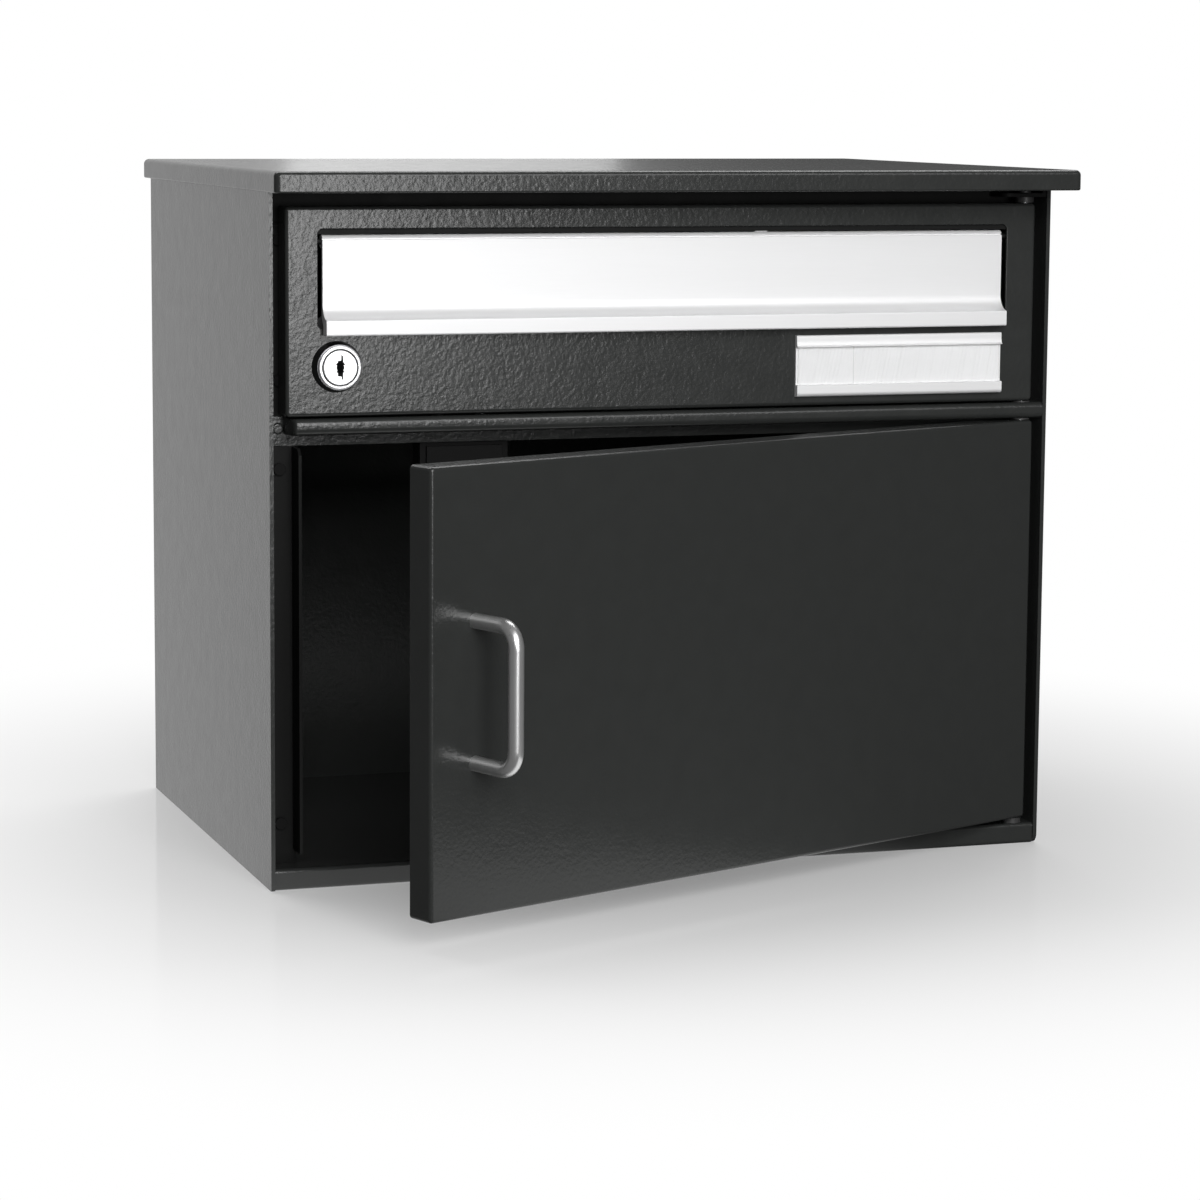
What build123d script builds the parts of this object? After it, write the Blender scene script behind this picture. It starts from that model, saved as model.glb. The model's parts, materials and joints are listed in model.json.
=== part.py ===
"""Wall letterbox with a parcel compartment below it, folded from sheet metal.

The origin is the centre of the base, on the ground. X runs to the right, Y to the back, Z up,
and the doors face -Y. Lengths are in millimetres. The parcel door is drawn ajar.
"""
import os

from build123d import *

os.makedirs("parts", exist_ok=True)

# ---- cabinet -------------------------------------------------------------------------------
body_width = 400.0
body_depth = 270.0
wall_height = 340.0
side_sheet = 2.0
back_sheet = 2.0
folded_sheet = 1.5
bend_radius = 0.6
left_toe_radius = 1.2
right_toe_radius = 5.0
seam_flange = 14.0

# ---- roof ----------------------------------------------------------------------------------
roof_sheet = 2.0
roof_skirt = 8.0
roof_front_overhang = 28.0
roof_side_overhang = 3.5
roof_back_overhang = 3.0
roof_corner_radius = 3.0
roof_top_radius = 2.6
roof_lip_radius = 0.9

# ---- doors ---------------------------------------------------------------------------------
door_side_gap = 6.0
door_depth = 15.0
door_sheet = 1.5
door_corner_radius = 2.0
door_edge_radius = 1.9
door_gap = 1.0
sill_gap = 3.0
letter_door_height = 98.5
door_top_gap = 15.0
parcel_swing = 22.0
hinge_inset = 3.5
hinge_setback = 6.0
pin_radius = 1.75
running_clearance = 0.05
rest_gap = 0.3

# ---- frame behind the doors ----------------------------------------------------------------
sill_height = 10.5
sill_setback = 1.0
stop_gap = 2.0
lip_inset = 7.0
lip_reach = 13.0
hinge_lip_inset = 14.0
lip_end_gap = 1.5
lip_end_chamfer = 3.0
lip_shelf_gap = 0.5
wall_leg = 20.0
nose_height = 8.0
nose_radius = 3.2
nose_end_inset = 11.5
corner_sheet = 1.0
corner_chamfer = 4.0
corner_rivet_radius = 2.8
divider_flange = 6.0
rail_lip_drop = 8.0
bracket_sheet = 2.0

# ---- letter slot flap ----------------------------------------------------------------------
flap_end_margin = 18.0
flap_top_below_door = 13.2
flap_above_plate = 3.6
flap_setback = 0.7
flap_plate = 2.0
flap_barrel_radius = 3.2
flap_bead_height = 1.6
flap_groove_height = 0.8
flap_groove_depth = 1.2
flap_lip_height = 7.5
flap_cove_radius = 7.7
flap_lip_radius = 0.8
flap_lip_gap = 0.4
flap_lap = 3.0
slot_side_gap = 2.4
slot_top_gap = 2.8
slot_corner_radius = 2.5
axle_radius = 1.5
flap_bracket_sheet = 1.5
flap_bracket_gap = 3.0
flap_bracket_foot = 8.0
flap_bracket_drop = 18.0
axle_tail = 2.0
clip_radius = 2.2
clip_thickness = 0.8
rain_cover_sheet = 1.0

# ---- name plate ----------------------------------------------------------------------------
plate_length = 109.4
plate_height = 30.0
plate_side_margin = 18.5
plate_above_door_bottom = 4.6
plate_base = 1.2
plate_rail_height = 5.8
plate_rail_depth = 3.6
plate_rail_round = 1.2
plate_lap = 2.0
window_thickness = 0.6
label_thickness = 0.5
small_field_length = 30.2
field_seam = 0.4
field_end_gap = 1.0
plate_cove_radius = 2.0
plate_cove_inset = 1.26
plate_cove_drop = 3.85

# ---- lock ----------------------------------------------------------------------------------
lock_from_edge = 24.6
lock_above_door_bottom = 23.5
lock_projection = 7.0
rosette_base_radius = 12.2
rosette_front_radius = 10.8
lock_face_radius = 10.3
lock_face_thickness = 1.5
lock_barrel_radius = 9.0
plug_face_radius = 8.2
plug_face_depth = 3.0
rotor_radius = 6.0
keyway_height = 12.0
keyway_width = 2.6
keyway_eye_radius = 2.8
keyway_depth = 5.0
cam_length = 23.0
cam_width = 11.0
cam_thickness = 2.0
cam_gap = 0.5
cam_screw_radius = 2.0
cam_screw_depth = 6.0
lock_face_round = 0.6
plug_face_round = 0.4
nut_across_flats = 23.0
nut_thickness = 4.0
fit_gap = 0.1

# ---- handle --------------------------------------------------------------------------------
handle_pitch = 64.0
handle_bar_radius = 3.5
handle_reach = 28.5
handle_bend_radius = 9.5
handle_from_edge = 25.0
handle_screw_depth = 9.0
stiffener_width = 20.0
stiffener_depth = 8.5
stiffener_end_gap = 8.0

# ---- magnetic catch ------------------------------------------------------------------------
catch_centre_x = -100.0
catch_length = 44.0
catch_height = 12.0
catch_depth = 14.0
magnet_wall = 3.0
magnet_lap = 1.5
magnet_proud = 1.5
magnet_screw_head_radius = 2.8
magnet_screw_head_height = 1.2
strike_foot = 10.0
strike_sheet = 1.0

# ---- fasteners and buffers -----------------------------------------------------------------
screw_radius = 2.0
screw_head_radius = 3.8
screw_head_height = 2.4
screw_head_round = 0.8
rivet_radius = 1.6
rivet_head_radius = 3.4
rivet_head_height = 1.3
rivet_head_round = 1.0
back_rivet_rows = 4
back_rivet_end_gap = 22.0
roof_screw_spacing = 130.0
roof_screw_bite = 1.2
buffer_radius = 3.0
buffer_end_gap = 16.0
bush_radius = 3.2
bush_flange_radius = 4.6
bush_tail = 1.0

# ---- mounting holes ------------------------------------------------------------------------
mount_hole_radius = 4.25
wall_hole_spacing_x = 300.0
wall_hole_spacing_z = 240.0
wall_hole_centre_z = 180.0
stand_hole_spacing_x = 320.0
stand_hole_spacing_y = 180.0

# ---- places worked out from the sizes above ------------------------------------------------
half_width = body_width / 2
inner_half = half_width - side_sheet
front_y = -body_depth / 2
back_y = body_depth / 2
back_inner_y = back_y - back_sheet
door_half = inner_half - door_side_gap
door_width = 2 * door_half
hinge_x = door_half - hinge_inset
hinge_y = front_y + hinge_setback
door_rear_y = front_y + door_depth
stop_y = door_rear_y + stop_gap
stop_rear_y = stop_y + folded_sheet
lip_tip_y = stop_y - lip_reach
latch_lip_x = -door_half + lip_inset
hinge_lip_x = hinge_x - hinge_lip_inset
nose_end_x = -inner_half + nose_end_inset
seam_centre = inner_half - seam_flange / 2
back_rivet_pitch = (wall_height - 2 * back_rivet_end_gap) / (back_rivet_rows - 1)

letter_door_top = wall_height - door_top_gap
letter_door_bottom = letter_door_top - letter_door_height
shelf_top = letter_door_bottom - door_gap
shelf_bottom = shelf_top - folded_sheet
nose_bottom = shelf_top - nose_height
flange_bottom = nose_bottom - divider_flange
parcel_door_top = nose_bottom - door_gap
parcel_door_bottom = sill_height + sill_gap
parcel_door_height = parcel_door_top - parcel_door_bottom
rail_lip_z = letter_door_top - rail_lip_drop
rail_bottom = rail_lip_z - folded_sheet
bracket_bottom = letter_door_top + sill_gap
roof_bottom = wall_height - roof_skirt
roof_half = half_width + roof_side_overhang
roof_front = front_y - roof_front_overhang
roof_back = back_y + roof_back_overhang

plate_right_edge = door_half - plate_side_margin
plate_left_x = plate_right_edge - plate_length
plate_bottom = letter_door_bottom + plate_above_door_bottom
plate_top = plate_bottom + plate_height

flap_length = door_width - 2 * flap_end_margin
flap_top = letter_door_top - flap_top_below_door
flap_bottom = plate_top + flap_above_plate
slot_axis_y = front_y + flap_setback + flap_barrel_radius
slot_axis_z = flap_top - flap_barrel_radius
slot_half = flap_length / 2 + slot_side_gap
slot_top = flap_top + slot_top_gap
slot_bottom = flap_bottom + flap_lap

lock_x = -door_half + lock_from_edge
lock_z = letter_door_bottom + lock_above_door_bottom
cam_front_y = stop_rear_y + cam_gap

catch_top = flange_bottom - rest_gap
catch_bottom = catch_top - catch_height
catch_span = (catch_centre_x - catch_length / 2, catch_centre_x + catch_length / 2)
magnet_front = door_rear_y + rest_gap
housing_front = magnet_front + magnet_proud
housing_back = housing_front + catch_depth
magnet_back = housing_back - magnet_wall
magnet_span = (catch_span[0] + magnet_wall, catch_span[1] - magnet_wall)
magnet_heights = (catch_bottom + magnet_lap, catch_top - magnet_lap)
catch_screw_y = (stop_rear_y + housing_back) / 2
catch_screw_spots = [(catch_centre_x + side * catch_length / 4, catch_screw_y) for side in (-1, 1)]


# ---- helpers -------------------------------------------------------------------------------
def block(x_span, y_span, z_span, mode=Mode.ADD):
    """A box between two limits on each axis, added to the part being built."""
    with Locations((x_span[0], y_span[0], z_span[0])):
        Box(
            x_span[1] - x_span[0],
            y_span[1] - y_span[0],
            z_span[1] - z_span[0],
            align=(Align.MIN, Align.MIN, Align.MIN),
            mode=mode,
        )


def folded_strip(points, thickness, toward_left=True, inner_radius=bend_radius):
    """Section of a folded sheet whose first skin follows the points, in right-angled folds.

    The second skin is mitred at each fold. The inside of a fold has the inner radius, one value
    or one for each fold, and the outside has that radius and the thickness.
    """
    corners = [Vector(*point) for point in points]
    runs = [(after - before).normalized() for before, after in zip(corners, corners[1:])]
    turn = 90 if toward_left else -90
    normals = [run.rotate(Axis.Z, turn) for run in runs]
    steps = [normals[0]] + [one + two for one, two in zip(normals, normals[1:])] + [normals[-1]]
    second_skin = [corner + step * thickness for corner, step in zip(corners, steps)]
    folds = len(corners) - 2
    inner_radii = inner_radius if isinstance(inner_radius, list) else [inner_radius] * folds
    first_radii = []
    second_radii = []
    for before, after, radius in zip(runs, runs[1:], inner_radii):
        folds_inward = (before.cross(after).Z > 0) == toward_left
        first_radii.append(radius + thickness if folds_inward else radius)
        second_radii.append(radius if folds_inward else radius + thickness)
    radii = [0] + first_radii + [0, 0] + second_radii[::-1] + [0]
    with BuildSketch(mode=Mode.PRIVATE) as strip:
        with BuildLine():
            FilletPolyline(*corners, *second_skin[::-1], radius=radii, close=True)
        make_face()
    return strip.sketch


def upright_pin(radius, z_low, z_high, mode=Mode.ADD):
    """A round bar along Z, standing on the height z_low at the origin of the locations."""
    with Locations((0, 0, z_low)):
        Cylinder(radius, z_high - z_low, align=(Align.CENTER, Align.CENTER, Align.MIN), mode=mode)


def face_plane(frame, depth):
    """Plane parallel to a door's face, at a depth behind the hinge axis, looking out of the front."""
    origin = frame.from_local_coords(Vector(0, depth, 0))
    return Plane(origin=origin, x_dir=frame.x_dir, z_dir=-frame.y_dir)


def door_pan(frame, bottom, height):
    """Door skin with its four edges turned back, open at the rear."""
    through_door = Axis(frame.origin, frame.y_dir)
    with BuildPart(mode=Mode.PRIVATE) as pan:
        with BuildSketch(face_plane(frame, door_rear)):
            with Locations((hinge_inset - door_width / 2, bottom + height / 2)):
                Rectangle(door_width, height)
        extrude(amount=door_depth)
        fillet(pan.edges().filter_by(through_door), door_corner_radius)
        fillet(pan.faces().sort_by(through_door)[0].edges(), door_edge_radius)
        offset(amount=-door_sheet, openings=pan.faces().sort_by(through_door)[-1])
    return pan.part


# Each door has a frame at its hinge axis: x along the door, y to its back, z up.
door_face = -hinge_setback
door_inside = door_face + door_sheet
door_rear = door_depth - hinge_setback
closed_frame = Plane(origin=(hinge_x, hinge_y, 0))
parcel_frame = closed_frame.rotated((0, 0, parcel_swing))


# ---- cabinet shell -------------------------------------------------------------------------
def side_panel(sign, toe_radius):
    """Side wall with its rear and top seam flanges; sign is -1 on the left and 1 on the right."""
    outer = sign * half_width
    inner = sign * inner_half
    flange = inner - sign * seam_flange
    with BuildPart(mode=Mode.PRIVATE) as panel:
        block(sorted((outer, inner)), (front_y, back_y), (0, wall_height))
        toe = panel.edges().filter_by(Axis.X).group_by(Axis.Z)[0].sort_by(Axis.Y)[0]
        fillet(toe, toe_radius)
        block(
            sorted((inner, flange)),
            (back_inner_y - folded_sheet, back_inner_y),
            (folded_sheet, wall_height),
        )
        block(
            sorted((inner, flange)),
            (stop_y + wall_leg, back_inner_y - folded_sheet),
            (wall_height - folded_sheet, wall_height),
        )
        with Locations((inner - sign * seam_flange / 2, 0, wall_height)):
            with GridLocations(0, roof_screw_spacing, 1, 2):
                Hole(screw_radius + fit_gap, depth=folded_sheet)
        with BuildSketch(Plane.XZ.offset(-back_inner_y)):
            with Locations((inner - sign * seam_flange / 2, wall_height / 2)):
                with GridLocations(0, back_rivet_pitch, 1, back_rivet_rows):
                    Circle(rivet_radius + fit_gap)
        extrude(amount=folded_sheet, mode=Mode.SUBTRACT)
    return panel.part


with BuildPart() as left_side_panel:
    add(side_panel(-1, left_toe_radius))
left_side_panel.part.label = "left_side_panel"
export_step(left_side_panel.part, "parts/left_side_panel.step")

with BuildPart() as right_side_panel:
    add(side_panel(1, right_toe_radius))
right_side_panel.part.label = "right_side_panel"
export_step(right_side_panel.part, "parts/right_side_panel.step")

with BuildPart() as back_panel:
    block((-inner_half, inner_half), (back_inner_y, back_y), (0, wall_height))
    with BuildSketch(Plane.XZ.offset(-back_y)):
        with Locations((0, wall_hole_centre_z)):
            with GridLocations(wall_hole_spacing_x, wall_hole_spacing_z, 2, 2):
                Circle(mount_hole_radius)
        with Locations((0, wall_height / 2)):
            with GridLocations(2 * seam_centre, back_rivet_pitch, 2, back_rivet_rows):
                Circle(rivet_radius + fit_gap)
    extrude(amount=back_sheet, mode=Mode.SUBTRACT)
back_panel.part.label = "back_panel"
export_step(back_panel.part, "parts/back_panel.step")

with BuildPart() as back_rivets:
    with BuildSketch(Plane.XZ.offset(-back_y)):
        with Locations((0, wall_height / 2)):
            with GridLocations(2 * seam_centre, back_rivet_pitch, 2, back_rivet_rows):
                Circle(rivet_head_radius)
    extrude(amount=-rivet_head_height)
    fillet(back_rivets.faces().sort_by(Axis.Y)[-2 * back_rivet_rows:].edges(), rivet_head_round)
    with BuildSketch(Plane.XZ.offset(-back_y)):
        with Locations((0, wall_height / 2)):
            with GridLocations(2 * seam_centre, back_rivet_pitch, 2, back_rivet_rows):
                Circle(rivet_radius)
    extrude(amount=back_sheet + folded_sheet)
    with BuildSketch(Plane.XZ.offset(-back_inner_y + folded_sheet)):
        with Locations((0, wall_height / 2)):
            with GridLocations(2 * seam_centre, back_rivet_pitch, 2, back_rivet_rows):
                Circle(rivet_head_radius - rivet_head_height)
    extrude(amount=rivet_head_height)
back_rivets.part.label = "back_rivets"
export_step(back_rivets.part, "parts/back_rivets.step")

# The floor lies on the ground and folds up, back and down again into the box of the sill.
with BuildPart() as floor_pan:
    sill_front = front_y + sill_setback
    floor_outline = [
        (back_inner_y, 0),
        (sill_front, 0),
        (sill_front, sill_height),
        (stop_y, sill_height),
        (stop_y, folded_sheet + fit_gap),
    ]
    with BuildSketch(Plane.YZ.offset(-inner_half)):
        add(folded_strip(floor_outline, folded_sheet, toward_left=False))
    extrude(amount=2 * inner_half)
    with Locations((0, 0, folded_sheet)):
        with GridLocations(stand_hole_spacing_x, stand_hole_spacing_y, 2, 2):
            Hole(mount_hole_radius, depth=folded_sheet)
    with Locations((hinge_x, hinge_y, sill_height)):
        Hole(bush_radius, depth=folded_sheet)
floor_pan.part.label = "floor_pan"
export_step(floor_pan.part, "parts/floor_pan.step")

# The shelf between the compartments rolls over into a hollow nose with a door stop under it.
with BuildPart() as divider_shelf:
    shelf_outline = [
        (back_inner_y - folded_sheet, shelf_top),
        (front_y, shelf_top),
        (front_y, nose_bottom),
        (stop_y, nose_bottom),
        (stop_y, flange_bottom),
    ]
    bends = [nose_radius - folded_sheet, nose_radius - folded_sheet, bend_radius]
    with BuildSketch(Plane.YZ.offset(-inner_half)):
        add(folded_strip(shelf_outline, folded_sheet, inner_radius=bends))
    extrude(amount=2 * inner_half)
    block(
        (-inner_half, nose_end_x),
        (front_y, stop_y),
        (flange_bottom, shelf_top),
        mode=Mode.SUBTRACT,
    )
    with Locations((hinge_x, hinge_y, shelf_top)):
        Hole(bush_radius, depth=nose_height)
    with Locations(*[(x, y, shelf_top) for x, y in catch_screw_spots]):
        Hole(screw_radius, depth=folded_sheet)
divider_shelf.part.label = "divider_shelf"
export_step(divider_shelf.part, "parts/divider_shelf.step")

# A plate closes the gap that the nose leaves at the latch side, held by one round-head rivet.
corner_plate_front = stop_y - corner_sheet
corner_rivet_x = (-inner_half + nose_end_x) / 2
corner_rivet_z = (nose_bottom + shelf_top) / 2 - rivet_radius
with BuildPart() as corner_plate:
    block((-inner_half, nose_end_x), (corner_plate_front, stop_y), (flange_bottom, shelf_bottom))
    lower_corner = corner_plate.edges().filter_by(Axis.Y).group_by(Axis.Z)[0].sort_by(Axis.X)[-1]
    chamfer(lower_corner, corner_chamfer)
    with BuildSketch(Plane.XZ.offset(-stop_y)):
        with Locations((corner_rivet_x, corner_rivet_z)):
            Circle(rivet_radius)
    extrude(amount=corner_sheet, mode=Mode.SUBTRACT)
corner_plate.part.label = "corner_plate"
export_step(corner_plate.part, "parts/corner_plate.step")

with BuildPart() as corner_rivet:
    with BuildSketch(Plane.XZ.offset(-corner_plate_front)):
        with Locations((corner_rivet_x, corner_rivet_z)):
            Circle(corner_rivet_radius)
    extrude(amount=rivet_head_height)
    fillet(corner_rivet.faces().sort_by(Axis.Y)[0].edges(), rivet_head_round)
    with BuildSketch(Plane.XZ.offset(-stop_y)):
        with Locations((corner_rivet_x, corner_rivet_z)):
            Circle(rivet_radius - fit_gap)
    extrude(amount=corner_sheet)
corner_rivet.part.label = "corner_rivet"
export_step(corner_rivet.part, "parts/corner_rivet.step")


# ---- jambs and top rail --------------------------------------------------------------------
def jamb(sign, lip_x, lip_tip_y, z_span, lip_span):
    """Upright behind a door: a leg on the wall, the door stop, and a lip that reaches into the pan."""
    outline = [
        (sign * inner_half, stop_y + wall_leg),
        (sign * inner_half, stop_y),
        (lip_x, stop_y),
        (lip_x, lip_tip_y),
    ]
    lip_depth = (lip_tip_y, stop_y)
    lip_width = sorted((lip_x + sign * bend_radius, lip_x - sign * folded_sheet))
    with BuildPart(mode=Mode.PRIVATE) as upright:
        with BuildSketch(Plane.XY.offset(z_span[0])):
            add(folded_strip(outline, folded_sheet, toward_left=sign < 0))
        extrude(amount=z_span[1] - z_span[0])
        block(lip_width, lip_depth, (z_span[0], lip_span[0]), mode=Mode.SUBTRACT)
        block(lip_width, lip_depth, (lip_span[1], z_span[1]), mode=Mode.SUBTRACT)
        lip_top = upright.edges().filter_by(Axis.X).group_by(Axis.Y)[0].sort_by(Axis.Z)[-1]
        chamfer(lip_top, lip_end_chamfer)
    return upright.part


parcel_lip_span = (parcel_door_bottom + door_sheet + lip_end_gap, flange_bottom - lip_shelf_gap)
# Beside the flap's rod the hinge-side lip is shorter, so that the rod passes in front of it.
short_lip_tip_y = slot_axis_y + flap_barrel_radius + lip_end_gap
letter_lip_span = (letter_door_bottom + door_sheet + lip_end_gap, rail_bottom - lip_shelf_gap)

with BuildPart() as parcel_jamb_left:
    add(jamb(-1, latch_lip_x, lip_tip_y, (folded_sheet, flange_bottom), parcel_lip_span))
parcel_jamb_left.part.label = "parcel_jamb_left"
export_step(parcel_jamb_left.part, "parts/parcel_jamb_left.step")

with BuildPart() as parcel_jamb_right:
    add(jamb(1, hinge_lip_x, lip_tip_y, (folded_sheet, flange_bottom), parcel_lip_span))
parcel_jamb_right.part.label = "parcel_jamb_right"
export_step(parcel_jamb_right.part, "parts/parcel_jamb_right.step")

with BuildPart() as letter_jamb_left:
    add(jamb(-1, latch_lip_x, lip_tip_y, (shelf_top, rail_bottom), letter_lip_span))
letter_jamb_left.part.label = "letter_jamb_left"
export_step(letter_jamb_left.part, "parts/letter_jamb_left.step")

with BuildPart() as letter_jamb_right:
    add(jamb(1, hinge_lip_x, short_lip_tip_y, (shelf_top, rail_bottom), letter_lip_span))
letter_jamb_right.part.label = "letter_jamb_right"
export_step(letter_jamb_right.part, "parts/letter_jamb_right.step")

with BuildPart() as top_rail:
    rail_outline = [
        (stop_y + wall_leg, wall_height),
        (stop_y, wall_height),
        (stop_y, rail_lip_z),
        (lip_tip_y, rail_lip_z),
    ]
    with BuildSketch(Plane.YZ.offset(-inner_half)):
        add(folded_strip(rail_outline, folded_sheet))
    extrude(amount=2 * inner_half)
    lip_box = ((lip_tip_y, stop_y), (rail_bottom, rail_lip_z))
    block((-inner_half, latch_lip_x), *lip_box, mode=Mode.SUBTRACT)
    block((hinge_lip_x, inner_half), *lip_box, mode=Mode.SUBTRACT)
top_rail.part.label = "top_rail"
export_step(top_rail.part, "parts/top_rail.step")

with BuildPart() as top_hinge_bracket:
    block(
        (hinge_lip_x, inner_half),
        (front_y + sill_setback, stop_y),
        (bracket_bottom, bracket_bottom + bracket_sheet),
    )
    free_edges = top_hinge_bracket.edges().filter_by(Axis.Z).group_by(Axis.X)[0]
    fillet(free_edges.sort_by(Axis.Y)[0], bush_flange_radius)
    block(
        (inner_half - bracket_sheet, inner_half),
        (front_y + sill_setback, stop_y),
        (bracket_bottom + bracket_sheet, wall_height - bracket_sheet),
    )
    with Locations((hinge_x, hinge_y, bracket_bottom + bracket_sheet)):
        Hole(bush_radius, depth=bracket_sheet)
top_hinge_bracket.part.label = "top_hinge_bracket"
export_step(top_hinge_bracket.part, "parts/top_hinge_bracket.step")

# ---- roof ----------------------------------------------------------------------------------
with BuildPart() as roof_cover:
    block((-roof_half, roof_half), (roof_front, roof_back), (roof_bottom, wall_height + roof_sheet))
    fillet(roof_cover.edges().filter_by(Axis.Z), roof_corner_radius)
    fillet(roof_cover.faces().sort_by(Axis.Z)[-1].edges(), roof_top_radius)
    fillet(roof_cover.faces().sort_by(Axis.Z)[0].edges(), roof_lip_radius)
    inside = (
        (-roof_half + roof_sheet, roof_half - roof_sheet),
        (roof_front + roof_sheet, roof_back - roof_sheet),
        (roof_bottom, wall_height),
    )
    block(*inside, mode=Mode.SUBTRACT)
    with Locations(Plane(origin=(0, 0, wall_height), z_dir=(0, 0, -1))):
        with GridLocations(2 * seam_centre, roof_screw_spacing, 2, 2):
            Hole(screw_radius + fit_gap, depth=roof_screw_bite)
roof_cover.part.label = "roof_cover"
export_step(roof_cover.part, "parts/roof_cover.step")

with BuildPart() as roof_screws:
    head_top = wall_height - folded_sheet
    with GridLocations(2 * seam_centre, roof_screw_spacing, 2, 2):
        upright_pin(screw_radius, head_top, wall_height + roof_screw_bite - fit_gap)
        upright_pin(screw_head_radius, head_top - screw_head_height, head_top)
    fillet(roof_screws.faces().sort_by(Axis.Z)[:4].edges(), screw_head_round)
roof_screws.part.label = "roof_screws"
export_step(roof_screws.part, "parts/roof_screws.step")

# ---- hinge bushes and door buffers ---------------------------------------------------------
with BuildPart() as hinge_bushes:
    bore = pin_radius + running_clearance
    seats = [
        (sill_height, sill_height - folded_sheet - bush_tail, parcel_door_bottom - rest_gap),
        (nose_bottom, nose_bottom + folded_sheet + bush_tail, parcel_door_top + rest_gap),
        (shelf_top, shelf_bottom - bush_tail, letter_door_bottom - rest_gap),
        (bracket_bottom, bracket_bottom + bracket_sheet + bush_tail, letter_door_top + rest_gap),
    ]
    for seat, tail, crown in seats:
        with Locations((hinge_x, hinge_y, 0)):
            upright_pin(bush_radius, min(seat, tail), max(seat, tail))
            upright_pin(bush_flange_radius, min(seat, crown), max(seat, crown))
            upright_pin(bore, min(tail, crown), max(tail, crown), mode=Mode.SUBTRACT)
hinge_bushes.part.label = "hinge_bushes"
export_step(hinge_bushes.part, "parts/hinge_bushes.step")

with BuildPart() as door_buffers:
    buffer_heights = [
        parcel_door_bottom + buffer_end_gap,
        parcel_door_top - buffer_end_gap,
        letter_door_bottom + buffer_end_gap,
        letter_door_top - buffer_end_gap,
    ]
    with BuildSketch(Plane.XZ.offset(-stop_y)):
        with Locations(*[(-door_half + door_sheet / 2, height) for height in buffer_heights]):
            Circle(buffer_radius)
    extrude(amount=stop_gap - rest_gap)
    fillet(door_buffers.faces().sort_by(Axis.Y)[:4].edges(), rest_gap)
door_buffers.part.label = "door_buffers"
export_step(door_buffers.part, "parts/door_buffers.step")

# ---- magnetic catch of the parcel door -----------------------------------------------------
with BuildPart() as magnet_housing:
    block(catch_span, (housing_front, housing_back), (catch_bottom, catch_top))
    block(catch_span, (stop_rear_y + rest_gap, housing_back), (catch_top, shelf_bottom))
    fillet(magnet_housing.edges().filter_by(Axis.Z).group_by(Axis.Y)[-1], magnet_lap)
    block(magnet_span, (housing_front, magnet_back), magnet_heights, mode=Mode.SUBTRACT)
    with Locations(*[(x, y, shelf_bottom) for x, y in catch_screw_spots]):
        Hole(screw_radius - fit_gap, depth=catch_height)
magnet_housing.part.label = "magnet_housing"
export_step(magnet_housing.part, "parts/magnet_housing.step")

with BuildPart() as catch_magnet:
    block(magnet_span, (magnet_front, magnet_back), magnet_heights)
    fillet(catch_magnet.faces().sort_by(Axis.Y)[0].edges(), rest_gap)
catch_magnet.part.label = "catch_magnet"
export_step(catch_magnet.part, "parts/catch_magnet.step")

with BuildPart() as magnet_screws:
    with Locations(*[(x, y, 0) for x, y in catch_screw_spots]):
        upright_pin(screw_radius - 2 * fit_gap, shelf_bottom - catch_height + fit_gap, shelf_top)
        upright_pin(magnet_screw_head_radius, shelf_top, shelf_top + magnet_screw_head_height)
magnet_screws.part.label = "magnet_screws"
export_step(magnet_screws.part, "parts/magnet_screws.step")

# ---- letter door ---------------------------------------------------------------------------
letter_pins = (
    (shelf_bottom - bush_tail - fit_gap, letter_door_bottom + door_sheet),
    (letter_door_top - door_sheet, bracket_bottom + bracket_sheet + bush_tail),
)
parcel_pins = (
    (sill_height - folded_sheet - bush_tail, parcel_door_bottom + door_sheet),
    (parcel_door_top - door_sheet, nose_bottom + folded_sheet + bush_tail),
)

with BuildPart() as letter_door_panel:
    add(door_pan(closed_frame, letter_door_bottom, letter_door_height))
    with BuildSketch(Plane.XZ.offset(-front_y)):
        with Locations((0, (slot_top + slot_bottom) / 2)):
            RectangleRounded(2 * slot_half, slot_top - slot_bottom, slot_corner_radius)
        with Locations((lock_x, lock_z)):
            Circle(lock_barrel_radius + fit_gap)
    extrude(amount=-door_sheet, mode=Mode.SUBTRACT)
    with Locations((hinge_x, hinge_y, 0)):
        upright_pin(pin_radius, letter_door_bottom, letter_door_top, mode=Mode.SUBTRACT)
letter_door_panel.part.label = "letter_door_panel"
export_step(letter_door_panel.part, "parts/letter_door_panel.step")

with BuildPart() as letter_door_pins:
    with Locations((hinge_x, hinge_y, 0)):
        upright_pin(pin_radius, letter_pins[0][0], letter_pins[0][1])
        upright_pin(pin_radius, letter_pins[1][0], letter_pins[1][1])
letter_door_pins.part.label = "letter_door_pins"
export_step(letter_door_pins.part, "parts/letter_door_pins.step")

# ---- slot flap -----------------------------------------------------------------------------
flap_face_y = front_y + flap_setback
flap_back_y = flap_face_y + flap_plate
flap_face_top = flap_top - flap_bead_height - flap_groove_height
lip_top_z = flap_bottom + flap_lip_height
lip_front_y = flap_face_y - flap_cove_radius
lip_back_y = front_y - flap_lip_gap

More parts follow.
